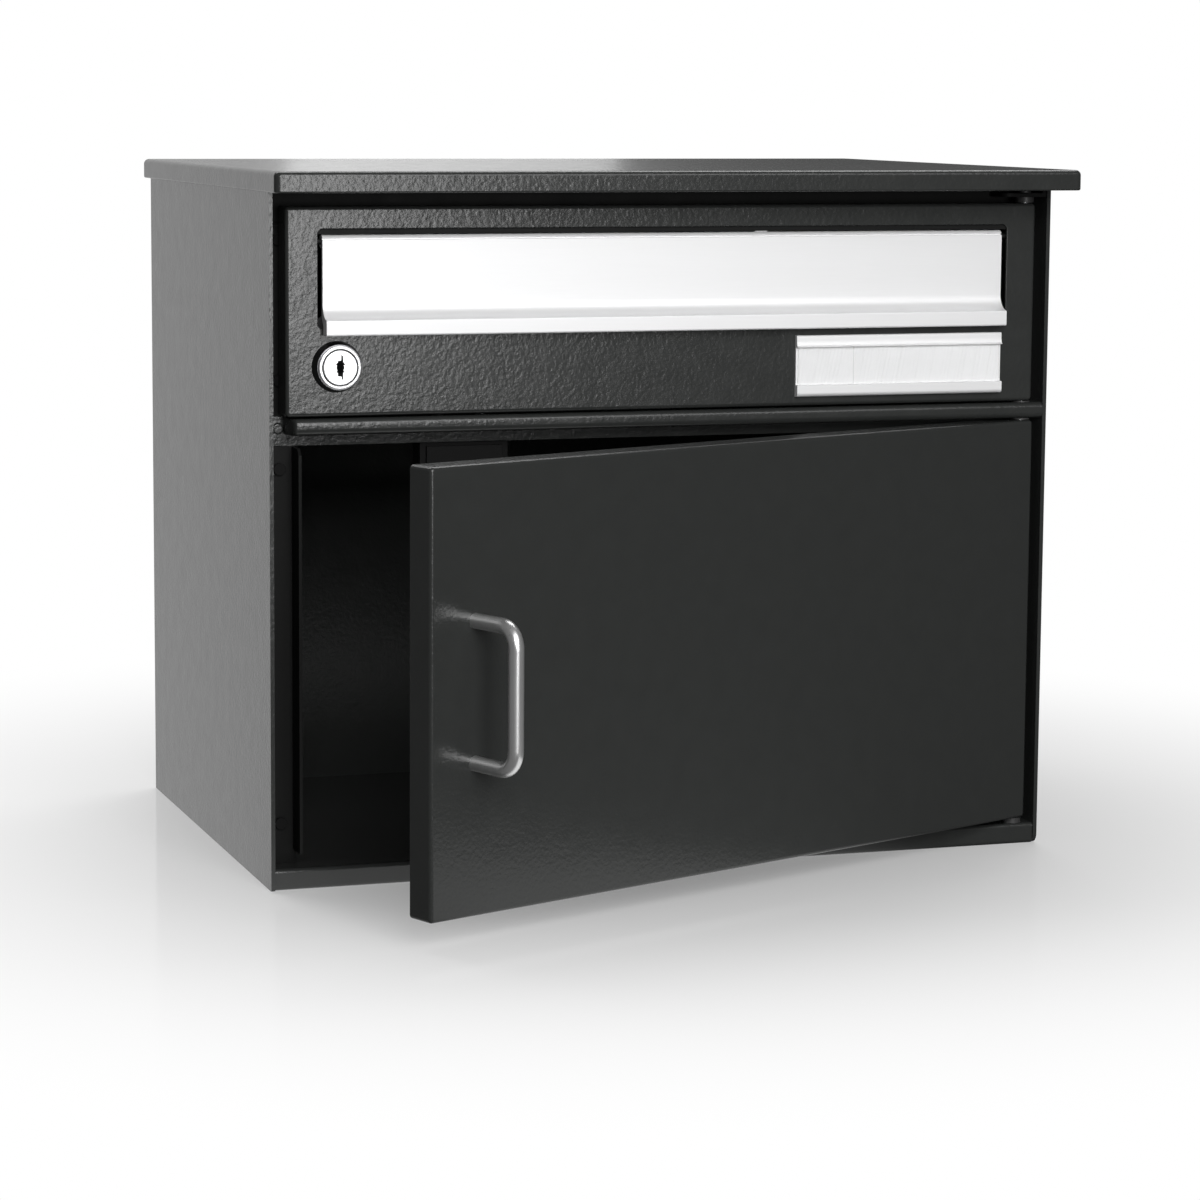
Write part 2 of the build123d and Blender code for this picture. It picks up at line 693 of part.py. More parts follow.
with BuildPart() as slot_flap:
    with BuildSketch(Plane.YZ.offset(-flap_length / 2)):
        with BuildLine():
            Polyline(
                (flap_face_y, lip_top_z + flap_cove_radius),
                (flap_face_y, flap_face_top),
                (flap_back_y, flap_face_top),
                (flap_back_y, slot_bottom + flap_plate + slot_top_gap),
                (lip_back_y, slot_bottom + slot_top_gap / 2),
                (lip_back_y, flap_bottom),
                (lip_front_y, flap_bottom),
                (lip_front_y, lip_top_z),
            )
            RadiusArc(
                (lip_front_y, lip_top_z),
                (flap_face_y, lip_top_z + flap_cove_radius),
                -flap_cove_radius,
            )
        make_face()
        with Locations((slot_axis_y, slot_axis_z)):
            Circle(flap_barrel_radius)
            Circle(axle_radius, mode=Mode.SUBTRACT)
        with Locations((flap_face_y, flap_face_top)):
            Rectangle(
                flap_groove_depth, flap_groove_height, align=(Align.MIN, Align.MIN), mode=Mode.SUBTRACT
            )
    extrude(amount=flap_length)
    lip_edges = slot_flap.faces().sort_by(Axis.Y)[0].edges().filter_by(Axis.X)
    fillet(lip_edges, flap_lip_radius)
slot_flap.part.label = "slot_flap"
export_step(slot_flap.part, "parts/slot_flap.step")

# The flap turns on a rod that two brackets behind the door carry, each outside an end of the slot.
bracket_near_x = slot_half + flap_bracket_gap - slot_side_gap
bracket_far_x = bracket_near_x + flap_bracket_sheet
door_back_y = front_y + door_sheet
bracket_top = rail_bottom - fit_gap - door_gap

with BuildPart() as flap_brackets:
    for side in (-1, 1):
        block(
            sorted((side * bracket_near_x, side * bracket_far_x)),
            (door_back_y, slot_axis_y + flap_barrel_radius),
            (bracket_top - flap_bracket_drop, bracket_top),
        )
        block(
            sorted((side * bracket_far_x, side * (bracket_far_x + flap_bracket_foot))),
            (door_back_y, door_back_y + flap_bracket_sheet),
            (bracket_top - flap_bracket_drop, slot_axis_z - clip_radius - rest_gap),
        )
    with BuildSketch(Plane.YZ.offset(-bracket_far_x)):
        with Locations((slot_axis_y, slot_axis_z)):
            Circle(axle_radius + running_clearance)
    extrude(amount=2 * bracket_far_x, mode=Mode.SUBTRACT)
flap_brackets.part.label = "flap_brackets"
export_step(flap_brackets.part, "parts/flap_brackets.step")

with BuildPart() as flap_axle:
    axle_half = bracket_far_x + axle_tail
    with BuildSketch(Plane.YZ.offset(-axle_half)):
        with Locations((slot_axis_y, slot_axis_z)):
            Circle(axle_radius)
    extrude(amount=2 * axle_half)
    chamfer(flap_axle.edges().filter_by(GeomType.CIRCLE), rest_gap)
flap_axle.part.label = "flap_axle"
export_step(flap_axle.part, "parts/flap_axle.step")

with BuildPart() as axle_clips:
    for clip_x in (-bracket_far_x - rest_gap - clip_thickness, bracket_far_x + rest_gap):
        with BuildSketch(Plane.YZ.offset(clip_x)):
            with Locations((slot_axis_y, slot_axis_z)):
                Circle(clip_radius)
                Circle(axle_radius, mode=Mode.SUBTRACT)
            with Locations((slot_axis_y, slot_axis_z - clip_radius)):
                Rectangle(axle_radius, 2 * clip_radius, mode=Mode.SUBTRACT)
        extrude(amount=clip_thickness)
axle_clips.part.label = "axle_clips"
export_step(axle_clips.part, "parts/axle_clips.step")

with BuildPart() as slot_rain_cover:
    block(
        (-bracket_near_x, bracket_near_x),
        (door_back_y, door_back_y + rain_cover_sheet),
        (flap_top + rest_gap, rail_lip_z + door_gap),
    )
slot_rain_cover.part.label = "slot_rain_cover"
export_step(slot_rain_cover.part, "parts/slot_rain_cover.step")

# ---- name plate ----------------------------------------------------------------------------
plate_face_y = front_y - plate_base
window_y = plate_face_y - label_thickness - window_thickness
field_low = plate_bottom + plate_rail_height - plate_lap
field_high = plate_top - plate_rail_height + plate_lap
field_ends = (plate_left_x + field_end_gap, plate_right_edge - field_end_gap)
seam_x = plate_left_x + small_field_length

with BuildPart() as name_plate_holder:
    with BuildSketch(Plane.YZ.offset(plate_left_x)) as holder_section:
        for rail_low in (plate_bottom, plate_top - plate_rail_height):
            with Locations((front_y, rail_low)):
                Rectangle(plate_rail_depth, plate_rail_height, align=(Align.MAX, Align.MIN))
        outer_corners = holder_section.vertices().group_by(Axis.X)[0]
        fillet(outer_corners, plate_rail_round)
        with Locations((front_y, plate_bottom)):
            Rectangle(plate_base, plate_height, align=(Align.MAX, Align.MIN))
        with Locations((front_y - plate_rail_depth - plate_cove_inset, plate_top - plate_cove_drop)):
            Circle(plate_cove_radius, mode=Mode.SUBTRACT)
        with Locations((plate_face_y, (field_low + field_high) / 2)):
            Rectangle(
                label_thickness + window_thickness + fit_gap,
                field_high - field_low,
                align=(Align.MAX, Align.CENTER),
                mode=Mode.SUBTRACT,
            )
    extrude(amount=plate_length)
name_plate_holder.part.label = "name_plate_holder"
export_step(name_plate_holder.part, "parts/name_plate_holder.step")

with BuildPart() as name_plate_window:
    block(field_ends, (window_y, window_y + window_thickness), (field_low + fit_gap, field_high - fit_gap))
name_plate_window.part.label = "name_plate_window"
export_step(name_plate_window.part, "parts/name_plate_window.step")

with BuildPart() as name_label:
    block(
        (seam_x + field_seam / 2, field_ends[1]),
        (plate_face_y - label_thickness, plate_face_y),
        (field_low + fit_gap, field_high - fit_gap),
    )
name_label.part.label = "name_label"
export_step(name_label.part, "parts/name_label.step")

with BuildPart() as notice_label:
    block(
        (field_ends[0], seam_x - field_seam / 2),
        (plate_face_y - label_thickness, plate_face_y),
        (field_low + fit_gap, field_high - fit_gap),
    )
notice_label.part.label = "notice_label"
export_step(notice_label.part, "parts/notice_label.step")

# ---- lock ----------------------------------------------------------------------------------
lock_front_y = front_y - lock_projection
rosette_front_y = lock_front_y + lock_face_thickness
rotor_end_y = cam_front_y
barrel_end_y = rotor_end_y - cam_thickness
plug_shoulder_y = lock_front_y + plug_face_depth


def lock_plane(depth_y):
    """Plane across the lock's axis at a depth, looking out of the front."""
    return Plane(origin=(lock_x, depth_y, lock_z), x_dir=(1, 0, 0), z_dir=(0, -1, 0))


def lock_disc(radius, front, rear, mode=Mode.ADD):
    """A round slice of the lock between two depths."""
    with BuildSketch(lock_plane(rear), mode=Mode.PRIVATE) as disc:
        Circle(radius)
    extrude(disc.sketch, amount=rear - front, mode=mode)


with BuildPart() as lock_rosette:
    with BuildSketch(lock_plane(front_y)):
        Circle(rosette_base_radius)
    with BuildSketch(lock_plane(rosette_front_y)):
        Circle(rosette_front_radius)
    loft()
    lock_disc(lock_barrel_radius + fit_gap, rosette_front_y, front_y, mode=Mode.SUBTRACT)
lock_rosette.part.label = "lock_rosette"
export_step(lock_rosette.part, "parts/lock_rosette.step")

with BuildPart() as lock_housing:
    lock_disc(lock_face_radius, lock_front_y, rosette_front_y)
    fillet(lock_housing.faces().sort_by(Axis.Y)[0].edges(), lock_face_round)
    lock_disc(lock_barrel_radius, rosette_front_y, barrel_end_y)
    lock_disc(plug_face_radius + running_clearance, lock_front_y, plug_shoulder_y, mode=Mode.SUBTRACT)
    lock_disc(rotor_radius + running_clearance, plug_shoulder_y, barrel_end_y, mode=Mode.SUBTRACT)
lock_housing.part.label = "lock_housing"
export_step(lock_housing.part, "parts/lock_housing.step")

with BuildPart() as lock_nut:
    with BuildSketch(lock_plane(door_back_y + nut_thickness)):
        RegularPolygon(nut_across_flats / 2, 6, major_radius=False)
        Circle(lock_barrel_radius + fit_gap, mode=Mode.SUBTRACT)
    extrude(amount=nut_thickness)
lock_nut.part.label = "lock_nut"
export_step(lock_nut.part, "parts/lock_nut.step")

with BuildPart() as lock_plug:
    lock_disc(plug_face_radius, lock_front_y - rest_gap, plug_shoulder_y - rest_gap)
    fillet(lock_plug.faces().sort_by(Axis.Y)[0].edges(), plug_face_round)
    lock_disc(rotor_radius, plug_shoulder_y - rest_gap, rotor_end_y)
    with BuildSketch(lock_plane(lock_front_y - rest_gap)):
        SlotOverall(keyway_height, keyway_width, rotation=90)
        Circle(keyway_eye_radius)
    extrude(amount=-keyway_depth, mode=Mode.SUBTRACT)
    lock_disc(cam_screw_radius, rotor_end_y - cam_screw_depth, rotor_end_y, mode=Mode.SUBTRACT)
lock_plug.part.label = "lock_plug"
export_step(lock_plug.part, "parts/lock_plug.step")

# The cam stands upright when the lock is open, and lies behind the left door stop when it is shut.
with BuildPart() as lock_cam:
    with BuildSketch(lock_plane(cam_front_y + cam_thickness)):
        with Locations((0, cam_length / 2 - cam_width / 4)):
            SlotOverall(cam_length + cam_width / 2, cam_width, rotation=90)
        Circle(cam_screw_radius + fit_gap, mode=Mode.SUBTRACT)
    extrude(amount=cam_thickness)
lock_cam.part.label = "lock_cam"
export_step(lock_cam.part, "parts/lock_cam.step")

with BuildPart() as cam_screw:
    cam_back_y = cam_front_y + cam_thickness
    lock_disc(screw_head_radius, cam_back_y, cam_back_y + screw_head_height)
    fillet(cam_screw.faces().sort_by(Axis.Y)[-1].edges(), screw_head_round)
    lock_disc(cam_screw_radius, rotor_end_y - cam_screw_depth + fit_gap, cam_back_y)
cam_screw.part.label = "cam_screw"
export_step(cam_screw.part, "parts/cam_screw.step")

# ---- parcel door ---------------------------------------------------------------------------
handle_x = hinge_inset - door_width + handle_from_edge
handle_z = (parcel_door_bottom + parcel_door_top) / 2
stiffener_span = (parcel_door_bottom + stiffener_end_gap, parcel_door_top - stiffener_end_gap)
screw_tip = door_face - handle_screw_depth


def parcel_disc(radius, front, rear, mode=Mode.ADD):
    """Round slices of both handle screws between two depths behind the parcel door's hinge axis."""
    with BuildSketch(face_plane(parcel_frame, rear), mode=Mode.PRIVATE) as discs:
        with Locations((handle_x, handle_z)):
            with GridLocations(0, handle_pitch, 1, 2):
                Circle(radius)
    extrude(discs.sketch, amount=rear - front, mode=mode)


with BuildPart() as parcel_door_panel:
    add(door_pan(parcel_frame, parcel_door_bottom, parcel_door_height))
    parcel_disc(screw_radius + fit_gap, door_face, door_inside, mode=Mode.SUBTRACT)
    with Locations((hinge_x, hinge_y, 0)):
        upright_pin(pin_radius, parcel_door_bottom, parcel_door_top, mode=Mode.SUBTRACT)
parcel_door_panel.part.label = "parcel_door_panel"
export_step(parcel_door_panel.part, "parts/parcel_door_panel.step")

with BuildPart() as parcel_door_pins:
    with Locations((hinge_x, hinge_y, 0)):
        upright_pin(pin_radius, *parcel_pins[0])
        upright_pin(pin_radius, *parcel_pins[1])
parcel_door_pins.part.label = "parcel_door_pins"
export_step(parcel_door_pins.part, "parts/parcel_door_pins.step")

with BuildPart() as door_stiffener:
    stiffener_rear = door_inside + stiffener_depth
    stiffener_outline = [
        (handle_x - stiffener_width / 2, stiffener_rear),
        (handle_x - stiffener_width / 2, door_inside),
        (handle_x + stiffener_width / 2, door_inside),
        (handle_x + stiffener_width / 2, stiffener_rear),
    ]
    with BuildSketch(parcel_frame.offset(stiffener_span[0])):
        add(folded_strip(stiffener_outline, folded_sheet))
    extrude(amount=stiffener_span[1] - stiffener_span[0])
    parcel_disc(screw_radius + fit_gap, door_inside, door_inside + folded_sheet, mode=Mode.SUBTRACT)
door_stiffener.part.label = "door_stiffener"
export_step(door_stiffener.part, "parts/door_stiffener.step")

with BuildPart() as handle_bow:
    handle_origin = parcel_frame.from_local_coords(Vector(handle_x, door_face, handle_z))
    handle_plane = Plane(origin=handle_origin, x_dir=-parcel_frame.y_dir, z_dir=-parcel_frame.x_dir)
    with BuildLine(handle_plane) as handle_path:
        FilletPolyline(
            (0, handle_pitch / 2),
            (handle_reach, handle_pitch / 2),
            (handle_reach, -handle_pitch / 2),
            (0, -handle_pitch / 2),
            radius=handle_bend_radius,
        )
    with BuildSketch(Plane(origin=handle_path.line @ 0, z_dir=handle_path.line % 0)):
        Circle(handle_bar_radius)
    sweep(path=handle_path.line)
    parcel_disc(screw_radius - fit_gap, screw_tip - fit_gap, door_face, mode=Mode.SUBTRACT)
handle_bow.part.label = "handle_bow"
export_step(handle_bow.part, "parts/handle_bow.step")

with BuildPart() as handle_screws:
    screw_seat = door_inside + folded_sheet
    parcel_disc(screw_head_radius, screw_seat, screw_seat + screw_head_height)
    parcel_disc(screw_radius - fit_gap, screw_tip, screw_seat)
handle_screws.part.label = "handle_screws"
export_step(handle_screws.part, "parts/handle_screws.step")

# A hat-shaped strike on the door's back meets the magnet when the door is shut.
strike_span = (catch_centre_x - hinge_x - catch_length / 2, catch_centre_x - hinge_x + catch_length / 2)
with BuildPart() as strike_plate:
    strike_outline = [
        (strike_span[0] - strike_foot, door_inside),
        (strike_span[0], door_inside),
        (strike_span[0], door_rear - strike_sheet),
        (strike_span[1], door_rear - strike_sheet),
        (strike_span[1], door_inside),
        (strike_span[1] + strike_foot, door_inside),
    ]
    with BuildSketch(parcel_frame.offset(catch_bottom)):
        add(folded_strip(strike_outline, strike_sheet))
    extrude(amount=catch_height)
strike_plate.part.label = "strike_plate"
export_step(strike_plate.part, "parts/strike_plate.step")
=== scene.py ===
"""Looks of the letterbox with a parcel compartment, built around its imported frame."""
from __future__ import annotations

import json
import logging
import math
from dataclasses import dataclass
from enum import Enum

import bmesh
import bpy
from mathutils import Matrix, Vector

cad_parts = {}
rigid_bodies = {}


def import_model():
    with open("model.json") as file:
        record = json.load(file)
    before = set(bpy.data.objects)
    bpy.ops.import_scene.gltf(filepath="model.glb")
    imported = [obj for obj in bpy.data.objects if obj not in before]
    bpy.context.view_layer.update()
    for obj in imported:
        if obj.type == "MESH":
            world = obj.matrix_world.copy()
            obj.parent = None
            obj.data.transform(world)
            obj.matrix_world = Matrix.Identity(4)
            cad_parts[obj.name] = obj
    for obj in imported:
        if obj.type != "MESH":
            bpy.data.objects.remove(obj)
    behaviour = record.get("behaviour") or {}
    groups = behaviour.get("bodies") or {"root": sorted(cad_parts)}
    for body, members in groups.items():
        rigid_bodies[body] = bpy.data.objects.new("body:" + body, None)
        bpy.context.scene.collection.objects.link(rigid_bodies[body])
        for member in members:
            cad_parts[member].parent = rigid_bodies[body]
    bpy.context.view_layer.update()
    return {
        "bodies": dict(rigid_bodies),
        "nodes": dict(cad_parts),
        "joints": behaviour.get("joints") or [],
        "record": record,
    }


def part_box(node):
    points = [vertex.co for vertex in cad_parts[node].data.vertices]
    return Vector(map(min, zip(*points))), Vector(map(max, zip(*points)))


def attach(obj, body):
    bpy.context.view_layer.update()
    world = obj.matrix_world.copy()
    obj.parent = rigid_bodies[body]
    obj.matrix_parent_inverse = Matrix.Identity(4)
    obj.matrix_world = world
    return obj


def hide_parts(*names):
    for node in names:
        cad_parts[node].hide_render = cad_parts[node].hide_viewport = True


LOG = logging.getLogger("letterbox")

MM = 0.001
QUARTER = math.pi / 2

# The side of the room that is white, behind the object and a little to its left.
ROOM_BRIGHT_SIDE = (-0.139, 0.990, 0.0)

MERGE_DISTANCE = 0.001 * MM
FLAT_ANGLE = math.radians(0.6)
CRISP_ANGLE = math.radians(35.0)
FINE_SHARP_DEGREES = 30.0

EASE_SEGMENTS = 2
RIM_SEGMENTS = 4

Colour = tuple[float, float, float]
Corner = tuple[float, float]


# ---- node helpers --------------------------------------------------------------------------
class NodeSheet:
    """A node tree that is filled from left to right."""

    def __init__(self, tree: bpy.types.NodeTree) -> None:
        """Keeps the tree.

        Args:
            tree: the material's, group's or world's node tree.
        """
        self.tree = tree

    def add(self, kind: str, **settings: object) -> bpy.types.Node:
        """Adds a node.

        Args:
            kind: Blender's name for the node.
            settings: properties of the node, such as an operation.

        Returns:
            The new node.
        """
        node = self.tree.nodes.new(kind)
        for name, value in settings.items():
            setattr(node, name, value)
        return node

    def link(self, source: bpy.types.NodeSocket, target: bpy.types.NodeSocket) -> None:
        """Joins an output socket to an input socket."""
        self.tree.links.new(source, target)

    def maths(self, operation: str, first: object, second: object = 0.0) -> bpy.types.NodeSocket:
        """Adds a Math node.

        Args:
            operation: the Math node's operation.
            first: a socket or a number.
            second: a socket or a number.

        Returns:
            The node's output socket.
        """
        node = self.add("ShaderNodeMath", operation=operation)
        for place, value in enumerate((first, second)):
            if isinstance(value, bpy.types.NodeSocket):
                self.link(value, node.inputs[place])
            else:
                node.inputs[place].default_value = value
        return node.outputs[0]

    def spread(self, value: bpy.types.NodeSocket, low: float, high: float) -> bpy.types.NodeSocket:
        """Stretches a 0 to 1 value to the range from low to high.

        Args:
            value: the socket to stretch.
            low: result at 0.
            high: result at 1.

        Returns:
            The stretched value's socket.
        """
        node = self.add("ShaderNodeMapRange")
        node.inputs["To Min"].default_value = low
        node.inputs["To Max"].default_value = high
        self.link(value, node.inputs["Value"])
        return node.outputs["Result"]


def new_group(name: str, inputs: dict[str, float], outputs: dict[str, str]) -> NodeSheet:
    """Starts a shader node group with its sockets.

    Args:
        name: the group's name.
        inputs: name and default of each number that goes in.
        outputs: name and socket type of each result.

    Returns:
        The group's sheet, with a Group Input and a Group Output node in it.
    """
    tree = bpy.data.node_groups.new(name, "ShaderNodeTree")
    tree.interface.new_socket("Vector", in_out="INPUT", socket_type="NodeSocketVector")
    for label, default in inputs.items():
        socket = tree.interface.new_socket(label, in_out="INPUT", socket_type="NodeSocketFloat")
        socket.default_value = default
    for label, kind in outputs.items():
        tree.interface.new_socket(label, in_out="OUTPUT", socket_type=kind)
    sheet = NodeSheet(tree)
    sheet.add("NodeGroupInput", name="In")
    sheet.add("NodeGroupOutput", name="Out")
    return sheet


def orange_peel_group() -> bpy.types.NodeTree:
    """Builds the skin of a powder coat: rounded bumps with a few coarser waves.

    Returns:
        The node group, which puts out a height and a 0 to 1 mottle.
    """
    sheet = new_group(
        "orange_peel",
        {"Bumps": 620.0, "Waves": 90.0},
        {"Height": "NodeSocketFloat", "Mottle": "NodeSocketFloat"},
    )
    given = sheet.tree.nodes["In"]
    result = sheet.tree.nodes["Out"]
    bumps = sheet.add("ShaderNodeTexNoise")
    bumps.inputs["Detail"].default_value = 2.0
    bumps.inputs["Roughness"].default_value = 0.45
    waves = sheet.add("ShaderNodeTexNoise")
    waves.inputs["Detail"].default_value = 1.0
    for texture, scale in ((bumps, "Bumps"), (waves, "Waves")):
        sheet.link(given.outputs["Vector"], texture.inputs["Vector"])
        sheet.link(given.outputs[scale], texture.inputs["Scale"])
    coarse = sheet.maths("MULTIPLY", waves.outputs["Fac"], 0.6)
    sheet.link(sheet.maths("ADD", bumps.outputs["Fac"], coarse), result.inputs["Height"])
    sheet.link(waves.outputs["Fac"], result.inputs["Mottle"])
    return sheet.tree


def brushed_grain_group() -> bpy.types.NodeTree:
    """Builds fine lines drawn out along the vector's first axis.

    Returns:
        The node group, which puts out the lines as a 0 to 1 value.
    """
    sheet = new_group(
        "brushed_grain",
        {"Lines": 2600.0, "Stretch": 60.0},
        {"Lines": "NodeSocketFloat"},
    )
    given = sheet.tree.nodes["In"]
    result = sheet.tree.nodes["Out"]
    parts = sheet.add("ShaderNodeSeparateXYZ")
    sheet.link(given.outputs["Vector"], parts.inputs[0])
    drawn = sheet.add("ShaderNodeCombineXYZ")
    stretched = sheet.maths("DIVIDE", parts.outputs["X"], given.outputs["Stretch"])
    sheet.link(stretched, drawn.inputs["X"])
    sheet.link(parts.outputs["Y"], drawn.inputs["Y"])
    sheet.link(parts.outputs["Z"], drawn.inputs["Z"])
    noise = sheet.add("ShaderNodeTexNoise")
    noise.inputs["Detail"].default_value = 3.0
    sheet.link(drawn.outputs[0], noise.inputs["Vector"])
    sheet.link(given.outputs["Lines"], noise.inputs["Scale"])
    sheet.link(noise.outputs["Fac"], result.inputs["Lines"])
    return sheet.tree


def room_glow_group() -> bpy.types.NodeTree:
    """Builds the brightness of the room by direction: white behind on the left, dim elsewhere.

    Returns:
        The node group, which turns a direction into a brightness.
    """
    sheet = new_group(
        "room_glow",
        {"Bright": 1.0, "Dim": 0.1, "From": 0.7, "To": 0.85},
        {"Glow": "NodeSocketFloat"},
    )
    given = sheet.tree.nodes["In"]
    result = sheet.tree.nodes["Out"]
    unit = sheet.add("ShaderNodeVectorMath", operation="NORMALIZE")
    sheet.link(given.outputs["Vector"], unit.inputs[0])
    facing = sheet.add("ShaderNodeVectorMath", operation="DOT_PRODUCT")
    sheet.link(unit.outputs[0], facing.inputs[0])
    facing.inputs[1].default_value = ROOM_BRIGHT_SIDE
    fade = sheet.add("ShaderNodeMapRange", interpolation_type="SMOOTHSTEP")
    sheet.link(facing.outputs["Value"], fade.inputs["Value"])
    for label, socket in (
        ("From", "From Min"),
        ("To", "From Max"),
        ("Dim", "To Min"),
        ("Bright", "To Max"),
    ):
        sheet.link(given.outputs[label], fade.inputs[socket])
    sheet.link(fade.outputs["Result"], result.inputs["Glow"])
    return sheet.tree


# ---- finishes ------------------------------------------------------------------------------
class Grain(Enum):
    """The fine structure that a finish carries."""

    PEEL = "orange_peel"
    BRUSHED = "brushed_grain"
    PLAIN = "plain"


@dataclass(frozen=True)
class Finish:
    """One surface finish and how it's made.

    The roughness runs between two values over the grain, and the colour is shaded by it.
    """

    name: str
    colour: Colour
    metallic: float
    roughness: tuple[float, float]
    grain: Grain = Grain.PLAIN
    scale: float = 600.0
    relief: float = 0.00001
    shade: float = 0.1
    ior: float = 1.5
    alpha: float = 1.0
    turned: tuple[float, float, float] = (0.0, 0.0, 0.0)

    def material(self, groups: dict[Grain, bpy.types.NodeTree]) -> bpy.types.Material:
        """Builds the material.

        Args:
            groups: the shared node group for each grain.

        Returns:
            The material, which reads Object coordinates.
        """
        material = bpy.data.materials.new(self.name)
        material.use_nodes = True
        sheet = NodeSheet(material.node_tree)
        shader = material.node_tree.nodes["Principled BSDF"]
        shader.inputs["Metallic"].default_value = self.metallic
        shader.inputs["IOR"].default_value = self.ior
        shader.inputs["Alpha"].default_value = self.alpha
        value, height = self._grain(sheet, groups)
        sheet.link(sheet.spread(value, *self.roughness), shader.inputs["Roughness"])
        tint = sheet.add("ShaderNodeMix", data_type="RGBA")
        dark = [channel * (1 - self.shade) for channel in self.colour]
        light = [channel * (1 + self.shade) for channel in self.colour]
        tint.inputs["A"].default_value = (*dark, 1.0)
        tint.inputs["B"].default_value = (*light, 1.0)
        sheet.link(value, tint.inputs["Factor"])
        sheet.link(tint.outputs["Result"], shader.inputs["Base Color"])
        bump = sheet.add("ShaderNodeBump")
        bump.inputs["Strength"].default_value = 1.0
        bump.inputs["Distance"].default_value = self.relief
        sheet.link(height, bump.inputs["Height"])
        sheet.link(bump.outputs["Normal"], shader.inputs["Normal"])
        return material

    def _grain(
        self, sheet: NodeSheet, groups: dict[Grain, bpy.types.NodeTree]
    ) -> tuple[bpy.types.NodeSocket, bpy.types.NodeSocket]:
        """Adds the grain's nodes.

        Args:
            sheet: the material's sheet.
            groups: the shared node group for each grain.

        Returns:
            A 0 to 1 value that varies over the surface, and a height.
        """
        place = sheet.add("ShaderNodeTexCoord")
        turn = sheet.add("ShaderNodeMapping")
        turn.inputs["Rotation"].default_value = self.turned
        sheet.link(place.outputs["Object"], turn.inputs["Vector"])
        if self.grain is Grain.PLAIN:
            noise = sheet.add("ShaderNodeTexNoise")
            noise.inputs["Scale"].default_value = self.scale
            noise.inputs["Detail"].default_value = 3.0
            sheet.link(turn.outputs[0], noise.inputs["Vector"])
            return noise.outputs["Fac"], noise.outputs["Fac"]
        group = sheet.add("ShaderNodeGroup", node_tree=groups[self.grain])
        sheet.link(turn.outputs[0], group.inputs["Vector"])
        if self.grain is Grain.PEEL:
            group.inputs["Bumps"].default_value = self.scale
            return group.outputs["Mottle"], group.outputs["Height"]
        group.inputs["Lines"].default_value = self.scale
        return group.outputs["Lines"], group.outputs["Lines"]


PEEL_SCALE = 530.0
DULL_IOR = 1.25

FINISHES = (
    Finish(
        "powder_coat",
        colour=(0.028, 0.0295, 0.0285),
        metallic=0.0,
        roughness=(0.2, 0.26),
        grain=Grain.PEEL,
        scale=PEEL_SCALE,
        relief=0.00012,
        shade=0.06,
    ),
    # Near-black matt coat for the sheets inside the openings: besides the coat's own colour, its
    # extra darkness is painted shade for the recesses behind the doors and under the roof.
    Finish(
        "inner_coat",
        colour=(0.006, 0.0062, 0.006),
        metallic=0.0,
        roughness=(0.5, 0.62),
        grain=Grain.PEEL,
        scale=PEEL_SCALE,
        relief=0.00005,
        shade=0.06,
        ior=DULL_IOR,
    ),
    Finish(
        "anodised_aluminium",
        colour=(0.88, 0.88, 0.885),
        metallic=0.28,
        roughness=(0.4, 0.5),
        grain=Grain.BRUSHED,
        scale=2600.0,
        relief=0.000002,
        shade=0.02,
    ),
    Finish(
        "zinc_steel",
        colour=(0.62, 0.62, 0.64),
        metallic=1.0,
        roughness=(0.25, 0.42),
        scale=900.0,
        shade=0.12,
    ),
    Finish(
        "stainless_steel",
        colour=(0.85, 0.85, 0.85),
        metallic=0.9,
        roughness=(0.24, 0.36),
        grain=Grain.BRUSHED,
        scale=2200.0,
        relief=0.000004,
        turned=(0.0, QUARTER, 0.0),
    ),
    Finish(
        "chrome",
        colour=(0.9, 0.9, 0.91),
        metallic=0.7,
        roughness=(0.24, 0.34),
        scale=300.0,
        relief=0.000001,
    ),
    Finish(
        "dark_chrome",
        colour=(0.12, 0.12, 0.125),
        metallic=1.0,
        roughness=(0.12, 0.2),
        scale=300.0,
    ),
    Finish(
        "clear_window",
        colour=(0.97, 0.98, 0.98),
        metallic=0.0,
        roughness=(0.08, 0.14),
        scale=200.0,
        relief=0.000004,
        alpha=0.15,
    ),
    Finish(
        "white_card",
        colour=(0.97, 0.97, 0.975),
        metallic=0.0,
        roughness=(0.6, 0.8),
        scale=1500.0,
        shade=0.02,
    ),
    Finish(
        "rubber",
        colour=(0.008, 0.008, 0.008),
        metallic=0.0,
        roughness=(0.7, 0.9),
        scale=900.0,
        ior=DULL_IOR,
    ),
    Finish(
        "nylon",
        colour=(0.04, 0.04, 0.04),
        metallic=0.0,
        roughness=(0.4, 0.55),
        scale=700.0,
    ),
    # The magnet catch's housing is darker than black plastic: painted shade for the hollow under
    # the shelf.
    Finish(
        "housing_plastic",
        colour=(0.004, 0.004, 0.004),
        metallic=0.0,
        roughness=(0.6, 0.75),
        scale=1200.0,
        ior=DULL_IOR,
    ),
    # The magnet is darker than bare ferrite: painted shade for the hollow under the shelf.
    Finish(
        "ferrite",
        colour=(0.005, 0.005, 0.005),
        metallic=0.0,
        roughness=(0.6, 0.75),
        scale=900.0,
        ior=DULL_IOR,
    ),
)


# ---- studio --------------------------------------------------------------------------------
@dataclass(frozen=True)
class Softbox:
    """A plain area light that looks at a point."""

    name: str
    place: tuple[float, float, float]
    target: tuple[float, float, float]
    size: tuple[float, float]
    power: float

    def build(self) -> None:
        """Puts the light into the scene."""
        data = bpy.data.lights.new(self.name, "AREA")
        data.shape = "RECTANGLE"
        data.size, data.size_y = self.size
        data.energy = self.power
        lamp = bpy.data.objects.new(self.name, data)
        lamp.location = self.place
        aim = Vector(self.target) - Vector(self.place)
        lamp.rotation_euler = aim.to_track_quat("-Z", "Y").to_euler()
        bpy.context.scene.collection.objects.link(lamp)


